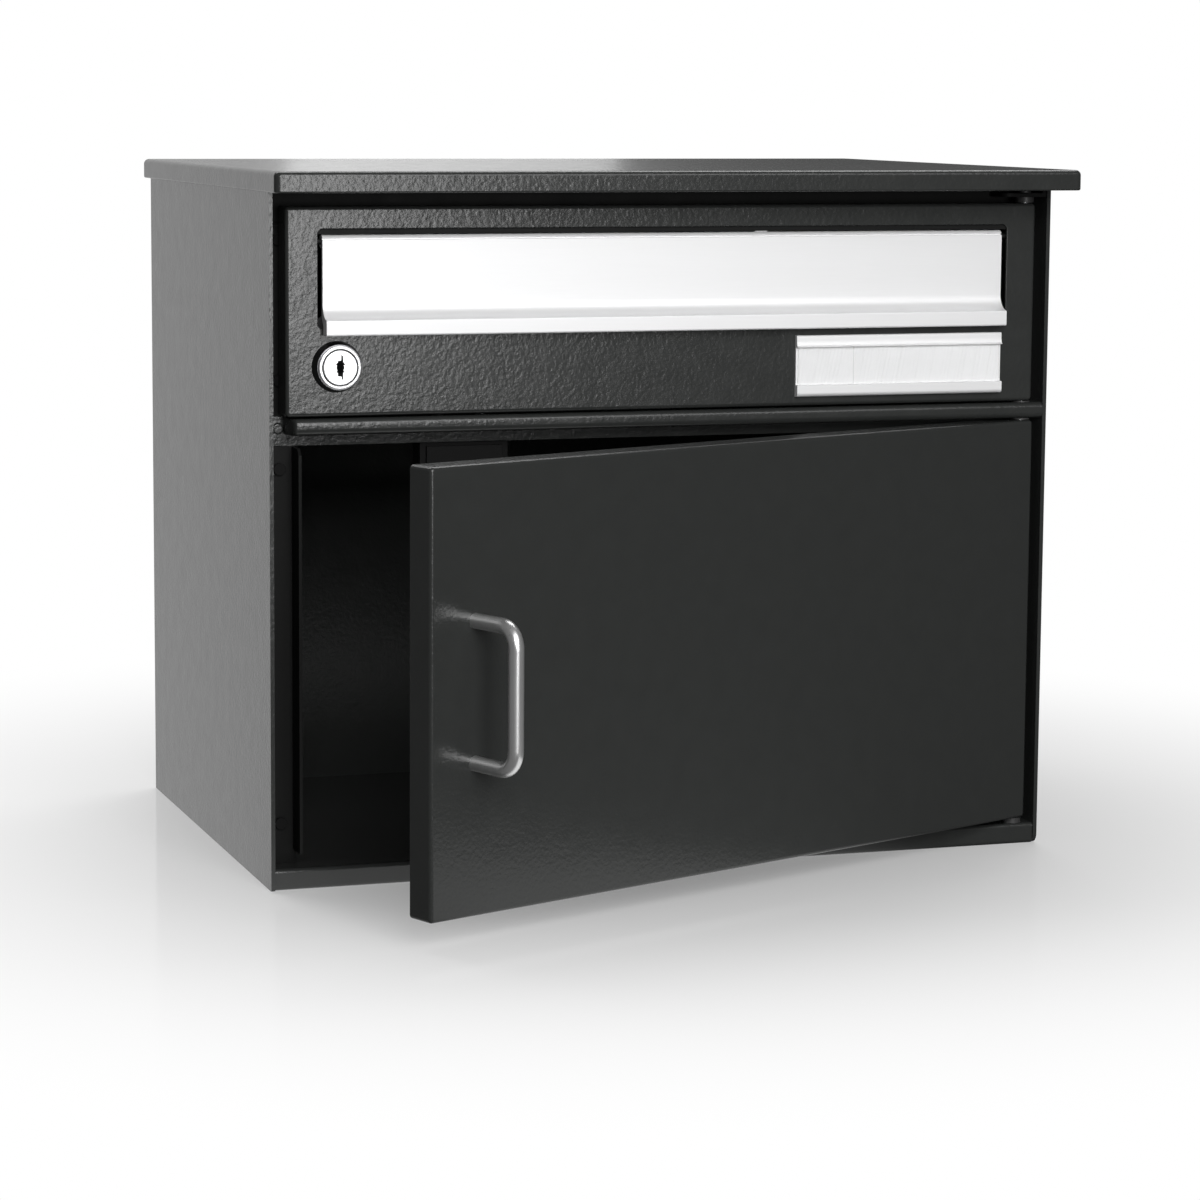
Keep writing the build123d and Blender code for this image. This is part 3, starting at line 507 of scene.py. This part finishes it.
@dataclass(frozen=True)
class Studio:
    """Pale room, soft lights, floor and camera."""

    glow_group: bpy.types.NodeTree
    eye: tuple[float, float, float] = (-0.5909, -1.7712, 0.3787)
    turn_degrees: tuple[float, float, float] = (82.737, -0.305, -17.889)
    focal_mm: float = 107.83
    shift: tuple[float, float] = (0.0417, -0.0417)
    floor_half: float = 12.0
    floor_albedo: float = 0.9
    floor_roughness: float = 0.1
    floor_ior: float = 1.5
    floor_fade: tuple[float, float] = (0.15, 0.6)
    floor_fade_start: float = 0.25
    floor_centre: tuple[float, float, float] = (0.0, 0.5, 0.0)
    bright: float = 0.78
    dim: float = 0.1
    fade: tuple[float, float] = (0.855, 0.955)
    boxes: tuple[Softbox, ...] = (
        Softbox("key_softbox", (-0.2, -2.1, 1.05), (-0.15, 0.0, 0.6), (1.2, 0.9), 27.0),
        Softbox("low_strip", (0.1, -2.1, 0.28), (0.1, 0.0, 0.28), (0.56, 0.44), 7.2),
        Softbox("front_fill", (0.5, -1.7, 1.5), (0.0, -0.1, 0.2), (1.0, 0.8), 7.0),
        Softbox("rear_panel", (0.78, 2.9, 0.75), (0.0, 0.0, 0.35), (0.45, 0.9), 1.05),
        Softbox("back_top_softbox", (0.1, 0.9, 1.9), (0.0, 0.0, 0.3), (2.4, 1.2), 34.0),
    )

    def build(self) -> None:
        """Builds the room, the lights, the floor and the camera."""
        scene = bpy.context.scene
        scene.view_settings.view_transform = "Standard"
        scene.view_settings.look = "None"
        self._world(scene)
        for box in self.boxes:
            box.build()
        self._floor(scene)
        self._camera(scene)

    def _glow(self, sheet: NodeSheet, direction: bpy.types.NodeSocket) -> bpy.types.NodeSocket:
        """Adds the room's brightness for a direction, and full white where the camera looks.

        Args:
            sheet: the node sheet of the room or the floor.
            direction: the direction's socket.

        Returns:
            The brightness.
        """
        glow = sheet.add("ShaderNodeGroup", node_tree=self.glow_group)
        sheet.link(direction, glow.inputs["Vector"])
        glow.inputs["Bright"].default_value = self.bright
        glow.inputs["Dim"].default_value = self.dim
        glow.inputs["From"].default_value, glow.inputs["To"].default_value = self.fade
        path = sheet.add("ShaderNodeLightPath")
        return sheet.maths("MAXIMUM", glow.outputs["Glow"], path.outputs["Is Camera Ray"])

    def _world(self, scene: bpy.types.Scene) -> None:
        """Surrounds the object with the room."""
        world = bpy.data.worlds.new("room")
        world.use_nodes = True
        scene.world = world
        sheet = NodeSheet(world.node_tree)
        backdrop = world.node_tree.nodes["Background"]
        backdrop.inputs["Color"].default_value = (1.0, 1.0, 1.0, 1.0)
        place = sheet.add("ShaderNodeTexCoord")
        sheet.link(self._glow(sheet, place.outputs["Generated"]), backdrop.inputs["Strength"])

    def _floor(self, scene: bpy.types.Scene) -> None:
        """Makes a wide pale floor that turns into plain white away from the object."""
        mesh = bpy.data.meshes.new("floor")
        shape = bmesh.new()
        bmesh.ops.create_grid(shape, x_segments=1, y_segments=1, size=self.floor_half)
        shape.to_mesh(mesh)
        shape.free()
        floor = bpy.data.objects.new("floor", mesh)
        scene.collection.objects.link(floor)
        material = bpy.data.materials.new("floor")
        material.use_nodes = True
        sheet = NodeSheet(material.node_tree)
        shader = material.node_tree.nodes["Principled BSDF"]
        shader.inputs["Base Color"].default_value = (*([self.floor_albedo] * 3), 1.0)
        shader.inputs["Roughness"].default_value = self.floor_roughness
        shader.inputs["IOR"].default_value = self.floor_ior
        place = sheet.add("ShaderNodeTexCoord")
        distance = sheet.add("ShaderNodeVectorMath", operation="LENGTH")
        sheet.link(place.outputs["Object"], distance.inputs[0])
        fade = sheet.add("ShaderNodeMapRange", interpolation_type="SMOOTHSTEP")
        start, end = self.floor_fade
        fade.inputs["From Min"].default_value = start
        fade.inputs["From Max"].default_value = end
        fade.inputs["To Min"].default_value = self.floor_fade_start
        sheet.link(distance.outputs["Value"], fade.inputs["Value"])
        path = sheet.add("ShaderNodeLightPath")
        unseen = sheet.maths("SUBTRACT", 1.0, path.outputs["Is Camera Ray"])
        far = sheet.maths("MAXIMUM", fade.outputs["Result"], unseen)
        glow = sheet.add("ShaderNodeEmission")
        ahead = sheet.add("ShaderNodeMapping")
        ahead.inputs["Location"].default_value = self.floor_centre
        sheet.link(place.outputs["Object"], ahead.inputs["Vector"])
        sheet.link(self._glow(sheet, ahead.outputs[0]), glow.inputs["Strength"])
        mix = sheet.add("ShaderNodeMixShader")
        sheet.link(far, mix.inputs["Fac"])
        sheet.link(shader.outputs[0], mix.inputs[1])
        sheet.link(glow.outputs[0], mix.inputs[2])
        output = material.node_tree.nodes["Material Output"]
        sheet.link(mix.outputs[0], output.inputs["Surface"])
        mesh.materials.append(material)

    def _camera(self, scene: bpy.types.Scene) -> None:
        """Adds the camera."""
        data = bpy.data.cameras.new("camera")
        data.lens = self.focal_mm
        data.shift_x, data.shift_y = self.shift
        camera = bpy.data.objects.new("camera", data)
        camera.location = self.eye
        camera.rotation_euler = [math.radians(angle) for angle in self.turn_degrees]
        scene.collection.objects.link(camera)
        scene.camera = camera


# ---- pieces --------------------------------------------------------------------------------
class Workshop:
    """Turns finished shapes into pieces that ride on the frame's bodies."""

    def __init__(self, frame: dict, materials: dict[str, bpy.types.Material]) -> None:
        """Keeps the frame's nodes and the slot that the record names for each.

        Args:
            materials: the finishes by slot name.
        """
        self.nodes = frame["nodes"]
        self.slots = {
            entry["node"]: entry["material_slot"] for entry in frame["record"]["subparts"]
        }
        self.materials = materials

    def finish(
        self,
        shape: bmesh.types.BMesh,
        name: str,
        body: str,
        slot: str,
        replaced: tuple[str, ...] = (),
        sharp_degrees: float = 40.0,
    ) -> bpy.types.Object:
        """Makes a piece from a shape and frees the shape.

        Args:
            shape: the finished shape, in metres, in the frame's place.
            name: the piece's name.
            body: the body that the piece moves with.
            slot: the finish that the piece is given.
            replaced: the frame's nodes that the piece stands for.
            sharp_degrees: edges that fold by more than this stay crisp.

        Returns:
            The new object.
        """
        mesh = bpy.data.meshes.new(name)
        shape.to_mesh(mesh)
        shape.free()
        mesh.materials.append(self.materials[slot])
        mesh.polygons.foreach_set("use_smooth", [True] * len(mesh.polygons))
        mesh.set_sharp_from_angle(angle=math.radians(sharp_degrees))
        piece = bpy.data.objects.new(name, mesh)
        bpy.context.scene.collection.objects.link(piece)
        steady = piece.modifiers.new("steady_shading", "WEIGHTED_NORMAL")
        steady.keep_sharp = True
        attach(piece, body)
        if replaced:
            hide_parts(*replaced)
        LOG.info("%s rides on %s: %d faces", name, body, len(mesh.polygons))
        return piece

    def merged_copy(self, node: str) -> bmesh.types.BMesh:
        """Copies a node's mesh and joins its loose triangles into whole faces.

        Args:
            node: the node's name.

        Returns:
            The copy, with flat areas as single faces.
        """
        shape = bmesh.new()
        shape.from_mesh(self.nodes[node].data)
        bmesh.ops.remove_doubles(shape, verts=shape.verts, dist=MERGE_DISTANCE)
        bmesh.ops.dissolve_limit(
            shape, angle_limit=FLAT_ANGLE, verts=shape.verts, edges=shape.edges
        )
        return shape


def round_edges(
    shape: bmesh.types.BMesh, edges: list[bmesh.types.BMEdge], radius: float, segments: int
) -> None:
    """Bevels edges round.

    Args:
        shape: the shape to change.
        edges: the edges to round.
        radius: how far the round reaches.
        segments: how many faces the round has.
    """
    bmesh.ops.bevel(
        shape,
        geom=edges,
        offset=radius,
        offset_type="OFFSET",
        segments=segments,
        profile=0.5,
        affect="EDGES",
        material=-1,
        clamp_overlap=True,
    )


def ease_edges(
    shape: bmesh.types.BMesh,
    radius: float,
    low: Vector | None = None,
    high: Vector | None = None,
) -> None:
    """Rounds the crisp edges of a shape, all of them or those inside a box.

    Args:
        shape: the shape to change.
        radius: how far the round reaches.
        low: the box's lowest corner.
        high: the box's highest corner.
    """
    crisp = [
        edge
        for edge in shape.edges
        if edge.is_manifold
        and edge.calc_face_angle(0.0) > CRISP_ANGLE
        and (low is None or all(inside(vert.co, low, high) for vert in edge.verts))
    ]
    round_edges(shape, crisp, radius, EASE_SEGMENTS if low is None else RIM_SEGMENTS)


def inside(point: Vector, low: Vector, high: Vector) -> bool:
    """Tells whether a point lies inside a box."""
    return all(small <= value <= large for small, value, large in zip(low, point, high))


def quarter_turns(steps: int) -> list[float]:
    """Divides a right angle.

    Args:
        steps: how many parts it has.

    Returns:
        The angle at each division, from 0 to the right angle.
    """
    return [math.radians(90.0 * step / steps) for step in range(steps + 1)]


def first_round(outer: float, start: float, radius: float, steps: int) -> list[Corner]:
    """Rounds the corner of a section where its outer side begins.

    Args:
        outer: where the outer side is.
        start: where the section begins along that side.
        radius: the round's radius.
        steps: how many faces the round has.

    Returns:
        The round's corners, which end on the outer side.
    """
    return [
        (outer - radius * (1 - math.sin(turn)), start + radius * (1 - math.cos(turn)))
        for turn in quarter_turns(steps)
    ]


def last_round(outer: float, end: float, radius: float, steps: int) -> list[Corner]:
    """Rounds the corner of a section where its outer side ends.

    Args:
        outer: where the outer side is.
        end: where the section ends along that side.
        radius: the round's radius.
        steps: how many faces the round has.

    Returns:
        The round's corners, which begin on the outer side.
    """
    return [
        (outer - radius * (1 - math.cos(turn)), end - radius * (1 - math.sin(turn)))
        for turn in quarter_turns(steps)
    ]


def spun(profile: list[Corner], centre: Vector, steps: int = 72) -> bmesh.types.BMesh:
    """Turns a closed profile round an axis along Y.

    Args:
        profile: radius and depth of each corner, in order round the section.
        centre: a point on the axis.
        steps: how many steps the full turn takes.

    Returns:
        The ring-shaped solid.
    """
    shape = bmesh.new()
    corners = [
        shape.verts.new((centre.x + radius, depth, centre.z)) for radius, depth in profile
    ]
    sides = [shape.edges.new(pair) for pair in zip(corners, corners[1:] + corners[:1])]
    bmesh.ops.spin(
        shape,
        geom=corners + sides,
        cent=centre,
        axis=(0.0, 1.0, 0.0),
        angle=2 * math.pi,
        steps=steps,
        use_merge=True,
        use_duplicate=False,
    )
    bmesh.ops.remove_doubles(shape, verts=shape.verts, dist=MERGE_DISTANCE)
    bmesh.ops.recalc_face_normals(shape, faces=shape.faces)
    return shape


def add_block(shape: bmesh.types.BMesh, low: Vector, high: Vector, ease: float = 0.0) -> None:
    """Adds a block between two corners.

    Args:
        shape: the shape that the block joins.
        low: the block's lowest corner.
        high: the block's highest corner.
        ease: radius of its rounded edges.
    """
    middle = (low + high) / 2
    size = high - low
    place = Matrix.Translation(middle) @ Matrix.Diagonal((*size, 1.0))
    made = bmesh.ops.create_cube(shape, size=1.0, matrix=place)
    if ease:
        edges = {edge for vert in made["verts"] for edge in vert.link_edges}
        round_edges(shape, list(edges), ease, EASE_SEGMENTS)


@dataclass(frozen=True)
class SheetMetal:
    """The folded sheets, whose cut edges the coat leaves slightly round."""

    ease: float = 0.35 * MM
    slot_rim: float = 1.1 * MM
    rim_margin: float = 4.0 * MM
    rim_depth: float = 0.1 * MM
    cabinet: tuple[str, ...] = (
        "left_side_panel",
        "right_side_panel",
        "back_panel",
        "floor_pan",
        "divider_shelf",
        "corner_plate",
        "parcel_jamb_left",
        "parcel_jamb_right",
        "letter_jamb_left",
        "letter_jamb_right",
        "top_rail",
        "top_hinge_bracket",
        "roof_cover",
    )

    def build(self, shop: Workshop) -> None:
        """Makes an eased copy of each sheet.

        Args:
            shop: makes the pieces.
        """
        for node in self.cabinet:
            self._eased(shop, node, "cabinet")
        self._eased(shop, "parcel_door_panel", "parcel_door")
        self._letter_door(shop)

    def _eased(self, shop: Workshop, node: str, body: str) -> None:
        """Makes one eased copy.

        Args:
            shop: makes the pieces.
            node: the frame's node.
            body: the body that it belongs to.
        """
        shape = shop.merged_copy(node)
        ease_edges(shape, self.ease)
        shop.finish(shape, f"{node}_coated", body, shop.slots[node], (node,))

    def _letter_door(self, shop: Workshop) -> None:
        """Makes the letter door, with a rounder rim on the slot's front edge.

        Args:
            shop: makes the pieces.
        """
        shape = shop.merged_copy("letter_door_panel")
        flap_low, flap_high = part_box("slot_flap")
        door_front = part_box("letter_door_panel")[0][1]
        low = Vector(
            (flap_low[0] - self.rim_margin, door_front - self.rim_depth, flap_low[2])
        )
        high = Vector(
            (
                flap_high[0] + self.rim_margin,
                door_front + self.rim_depth,
                flap_high[2] + self.rim_margin,
            )
        )
        ease_edges(shape, self.slot_rim, low, high)
        ease_edges(shape, self.ease)
        shop.finish(
            shape,
            "letter_door_panel_coated",
            "letter_door",
            "powder_coat",
            ("letter_door_panel",),
        )


@dataclass(frozen=True)
class NoseEnd:
    """The end of the shelf's rolled nose, turned back onto the plate beside it."""

    nose_height: float = 8.0 * MM
    nose_radius: float = 3.2 * MM
    reach: float = 3.0 * MM
    last_turn: float = 84.0
    turn_steps: int = 10
    arc_steps: int = 6
    sharp_degrees: float = 50.0

    def build(self, shop: Workshop) -> None:
        """Carries the nose's section round to the plate.

        Args:
            shop: makes the pieces.
        """
        shelf_low, shelf_high = (Vector(corner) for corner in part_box("divider_shelf"))
        plate_low, plate_high = (Vector(corner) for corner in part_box("corner_plate"))
        section = self._section(plate_low.y - shelf_low.y, shelf_high.z)
        shape = bmesh.new()
        rings = []
        for step in range(self.turn_steps + 1):
            turn = math.radians(self.last_turn * step / self.turn_steps)
            across = plate_high.x - self.reach * math.sin(turn)
            shrink = math.cos(turn)
            rings.append(
                [
                    shape.verts.new((across, plate_low.y - depth * shrink, height))
                    for depth, height in section
                ]
            )
        count = len(section)
        for ring, following in zip(rings, rings[1:]):
            for index in range(count):
                after = (index + 1) % count
                shape.faces.new((ring[index], ring[after], following[after], following[index]))
        shape.faces.new(rings[0])
        shape.faces.new(rings[-1])
        bmesh.ops.recalc_face_normals(shape, faces=shape.faces)
        shop.finish(
            shape, "nose_end_return", "cabinet", "powder_coat", (), self.sharp_degrees
        )

    def _section(self, depth: float, top: float) -> list[Corner]:
        """Works out the nose's section.

        Args:
            depth: how far the nose stands in front of the plate.
            top: the height of the shelf's top.

        Returns:
            Depth in front of the plate and height of each corner, from the foot upwards.
        """
        foot = top - self.nose_height
        lower = first_round(depth, foot, self.nose_radius, self.arc_steps)
        upper = last_round(depth, top, self.nose_radius, self.arc_steps)
        return [(0.0, foot), *lower, *upper, (0.0, top)]


@dataclass(frozen=True)
class CamLock:
    """The lock's face: a ring, a plug with a keyway, and the dark groove between them; the dark in
    the groove and behind the keyway is painted shade.
    """

    plug_radius: float = 8.2 * MM
    groove: float = 0.6 * MM
    groove_depth: float = 1.6 * MM
    recess_depth: float = 3.0 * MM
    ring_depth: float = 1.5 * MM
    barrel_radius: float = 9.0 * MM
    bore_radius: float = 6.05 * MM
    running_gap: float = 0.05 * MM
    ring_round: float = 0.6 * MM
    ring_round_steps: int = 6
    inner_chamfer: float = 0.15 * MM
    # the black ring that paints shade into the groove sits this deep behind the face
    shade_ring_depth: float = 0.9 * MM
    keyway_half_width: float = 1.25 * MM
    keyway_half_height: float = 5.9 * MM
    eye_radius: float = 2.7 * MM
    eye_segments: int = 40
    # A black block behind the keyway runs between these two depths behind the plug's face: painted
    # shade for the keyway's depth.
    shade_block_front: float = 0.9 * MM
    shade_block_back: float = 4.9 * MM
    ward_depth: float = 0.35 * MM
    ward_ease: float = 0.1 * MM
    upper_ward_foot: float = 3.3 * MM
    upper_ward_reach: float = 0.45 * MM
    lower_ward_top: float = 4.1 * MM
    lower_ward_reach: float = 0.7 * MM
    crescent_width: float = 0.8 * MM
    crescent_steps: int = 8
    crescent_degrees: tuple[tuple[float, float], ...] = ((-40.0, 72.0), (145.0, 78.0))

    def build(self, shop: Workshop) -> None:
        """Makes the lock's visible pieces.

        Args:
            shop: makes the pieces.
        """
        low, high = (Vector(corner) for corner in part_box("lock_housing"))
        centre = (low + high) / 2
        self._housing(shop, centre, low.y, high.y, (high.x - low.x) / 2)
        face = Vector((centre.x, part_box("lock_plug")[0][1], centre.z))
        self._keyway_shade(shop, face)
        self._wards(shop, face)

    def _housing(
        self, shop: Workshop, centre: Vector, front: float, rear: float, radius: float
    ) -> None:
        """Turns the ring and barrel, with a groove round the plug, and lays a black ring in the
        groove as painted shade.

        Args:
            shop: makes the pieces.
            centre: a point on the lock's axis.
            front: depth of the ring's face.
            rear: depth of the barrel's end.
            radius: the ring's outer radius.
        """
        groove_radius = self.plug_radius + self.groove
        fit_radius = self.plug_radius + self.running_gap
        edge = first_round(radius, front, self.ring_round, self.ring_round_steps)
        profile = [
            (groove_radius, front + self.groove_depth),
            (groove_radius, front + self.inner_chamfer),
            (groove_radius + self.inner_chamfer, front),
            *edge,
            (radius, front + self.ring_depth),
            (self.barrel_radius, front + self.ring_depth),
            (self.barrel_radius, rear),
            (self.bore_radius, rear),
            (self.bore_radius, front + self.recess_depth),
            (fit_radius, front + self.recess_depth),
            (fit_radius, front + self.groove_depth),
        ]
        shop.finish(
            spun(profile, centre),
            "lock_face_ring",
            "letter_door",
            "chrome",
            ("lock_housing",),
            FINE_SHARP_DEGREES,
        )
        # A black rubber ring fills the groove round the plug: painted shade for the groove's
        # depth.
        shade_ring_radius = groove_radius - self.running_gap
        shade_ring = [
            (fit_radius, front + self.shade_ring_depth),
            (shade_ring_radius, front + self.shade_ring_depth),
            (shade_ring_radius, front + self.groove_depth),
            (fit_radius, front + self.groove_depth),
        ]
        shop.finish(spun(shade_ring, centre), "lock_groove_painted_shade", "letter_door", "rubber")

    def _keyway_shade(self, shop: Workshop, face: Vector) -> None:
        """Makes the dark block behind the keyway, painted shade for the keyway's depth.

        Args:
            shop: makes the pieces.
            face: the middle of the plug's face.
        """
        shape = bmesh.new()
        near = face.y + self.shade_block_front
        far = face.y + self.shade_block_back
        add_block(
            shape,
            Vector((face.x - self.keyway_half_width, near, face.z - self.keyway_half_height)),
            Vector((face.x + self.keyway_half_width, far, face.z + self.keyway_half_height)),
        )
        middle = Matrix.Translation((face.x, (near + far) / 2, face.z))
        place = middle @ Matrix.Rotation(QUARTER, 4, "X")
        bmesh.ops.create_cone(
            shape,
            cap_ends=True,
            segments=self.eye_segments,
            radius1=self.eye_radius,
            radius2=self.eye_radius,
            depth=far - near,
            matrix=place,
        )
        shop.finish(shape, "keyway_painted_shade", "lock", "rubber")

    def _wards(self, shop: Workshop, face: Vector) -> None:
        """Makes the bright wards that narrow the keyway.

        Args:
            shop: makes the pieces.
            face: the middle of the plug's face.
        """
        shape = bmesh.new()
        near = face.y + self.ward_depth
        far = face.y + self.shade_block_front
        left = face.x - self.keyway_half_width
        add_block(
            shape,
            Vector((left, near, face.z + self.upper_ward_foot)),
            Vector((face.x + self.upper_ward_reach, far, face.z + self.keyway_half_height)),
            self.ward_ease,
        )
        add_block(
            shape,
            Vector((left, near, face.z - self.keyway_half_height)),
            Vector((face.x + self.lower_ward_reach, far, face.z - self.lower_ward_top)),
            self.ward_ease,
        )
        for start, turn in self.crescent_degrees:
            self._crescent(shape, face, near, far, math.radians(start), math.radians(turn))
        shop.finish(shape, "keyway_wards", "lock", "chrome")

    def _crescent(
        self,
        shape: bmesh.types.BMesh,
        face: Vector,
        near: float,
        far: float,
        start: float,
        turn: float,
    ) -> None:
        """Adds a curved ward inside the keyway's eye.

        Args:
            shape: the wards' shape.
            face: the middle of the plug's face.
            near: depth of the ward's front.
            far: depth of its back.
            start: angle of its first end.
            turn: how far it curves.
        """
        outer = self.eye_radius
        inner = outer - self.crescent_width
        corners = [
            shape.verts.new(
                (face.x + radius * math.cos(start), depth, face.z + radius * math.sin(start))
            )
            for radius, depth in ((inner, near), (outer, near), (outer, far), (inner, far))
        ]
        tip = [shape.faces.new(corners)]
        turned = Matrix.Rotation(-turn / self.crescent_steps, 3, "Y")
        for step in range(self.crescent_steps):
            made = bmesh.ops.extrude_face_region(shape, geom=tip)
            moved = [item for item in made["geom"] if isinstance(item, bmesh.types.BMVert)]
            if step:
                bmesh.ops.delete(shape, geom=tip, context="FACES_ONLY")
            bmesh.ops.rotate(shape, verts=moved, cent=face, matrix=turned)
            tip = [item for item in made["geom"] if isinstance(item, bmesh.types.BMFace)]
        bmesh.ops.recalc_face_normals(shape, faces=shape.faces)


@dataclass(frozen=True)
class BrightTrim:
    """The aluminium flap and the lock's dark collar."""

    ease: float = 0.2 * MM

    def build(self, shop: Workshop) -> None:
        """Makes an eased copy of each piece of trim.

        Args:
            shop: makes the pieces.
        """
        for node, name, body, slot in (
            ("slot_flap", "slot_flap_anodised", "flap", "anodised_aluminium"),
            ("lock_rosette", "lock_collar", "letter_door", "dark_chrome"),
        ):
            shape = shop.merged_copy(node)
            ease_edges(shape, self.ease)
            shop.finish(shape, name, body, slot, (node,))


@dataclass(frozen=True)
class NamePlate:
    """The name plate's holder: an extrusion with a hollowed rail above and a round one below."""

    base: float = 1.2 * MM
    rail_height: float = 5.8 * MM
    upper_face: float = 2.4 * MM
    upper_round: float = 0.8 * MM
    hollow_start: float = 2.4 * MM
    hollow_end: float = 5.4 * MM
    lower_round: float = 1.9 * MM
    edge: float = 0.2 * MM
    arc_steps: int = 8

    def build(self, shop: Workshop) -> None:
        """Extrudes the holder's section along the door.

        Args:
            shop: makes the pieces.
        """
        low, high = (Vector(corner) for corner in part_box("name_plate_holder"))
        shape = bmesh.new()
        outline = [
            shape.verts.new((low.x, high.y - depth, height))
            for depth, height in self._section(low, high)
        ]
        end = shape.faces.new(outline)
        made = bmesh.ops.extrude_face_region(shape, geom=[end], use_keep_orig=True)
        far = [item for item in made["geom"] if isinstance(item, bmesh.types.BMVert)]
        bmesh.ops.translate(shape, verts=far, vec=(high.x - low.x, 0.0, 0.0))
        bmesh.ops.recalc_face_normals(shape, faces=shape.faces)
        shop.finish(
            shape,
            "name_plate_holder_anodised",
            "letter_door",
            "anodised_aluminium",
            ("name_plate_holder",),
            FINE_SHARP_DEGREES,
        )

    def _section(self, low: Vector, high: Vector) -> list[Corner]:
        """Works out the section's corners.

        Args:
            low: the holder's lowest corner.
            high: the holder's highest corner.

        Returns:
            Depth in front of the door and height of each corner, from the back's foot upwards.
        """
        front = high.y - low.y
        lower = first_round(front, low.z, self.lower_round, self.arc_steps)
        hollow_reach = front - self.upper_face
        hollow_foot = high.z - self.hollow_end
        hollow_height = self.hollow_end - self.hollow_start
        hollow = [
            (
                front - hollow_reach * math.sin(turn),
                hollow_foot + hollow_height * (1 - math.cos(turn)),
            )
            for turn in quarter_turns(self.arc_steps)
        ]
        upper = last_round(self.upper_face, high.z, self.upper_round, self.arc_steps)
        return [
            (0.0, low.z),
            *lower,
            (front, low.z + self.rail_height - self.edge),
            (front - self.edge, low.z + self.rail_height),
            (self.base, low.z + self.rail_height),
            (self.base, high.z - self.rail_height),
            (front - self.edge, high.z - self.rail_height),
            (front, high.z - self.rail_height + self.edge),
            *hollow,
            *upper,
            (0.0, high.z),
        ]


# ---- the whole -----------------------------------------------------------------------------
def dress_frame(frame: dict, materials: dict[str, bpy.types.Material]) -> None:
    """Gives every piece of the frame the finish that the record names for it.

    Args:
        materials: the finishes by slot name.
    """
    for entry in frame["record"]["subparts"]:
        piece = frame["nodes"][entry["node"]]
        for place in piece.material_slots:
            place.material = materials[entry["material_slot"]]


def main() -> None:
    """Builds the looks around the frame."""
    logging.basicConfig(level=logging.INFO, format="%(message)s")
    for leftover in list(bpy.data.objects):
        bpy.data.objects.remove(leftover)
    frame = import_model()
    Studio(room_glow_group()).build()
    groups = {Grain.PEEL: orange_peel_group(), Grain.BRUSHED: brushed_grain_group()}
    materials = {finish.name: finish.material(groups) for finish in FINISHES}
    dress_frame(frame, materials)
    shop = Workshop(frame, materials)
    for builder in (SheetMetal(), NoseEnd(), BrightTrim(), NamePlate(), CamLock()):
        builder.build(shop)


if __name__ == "__main__":
    main()
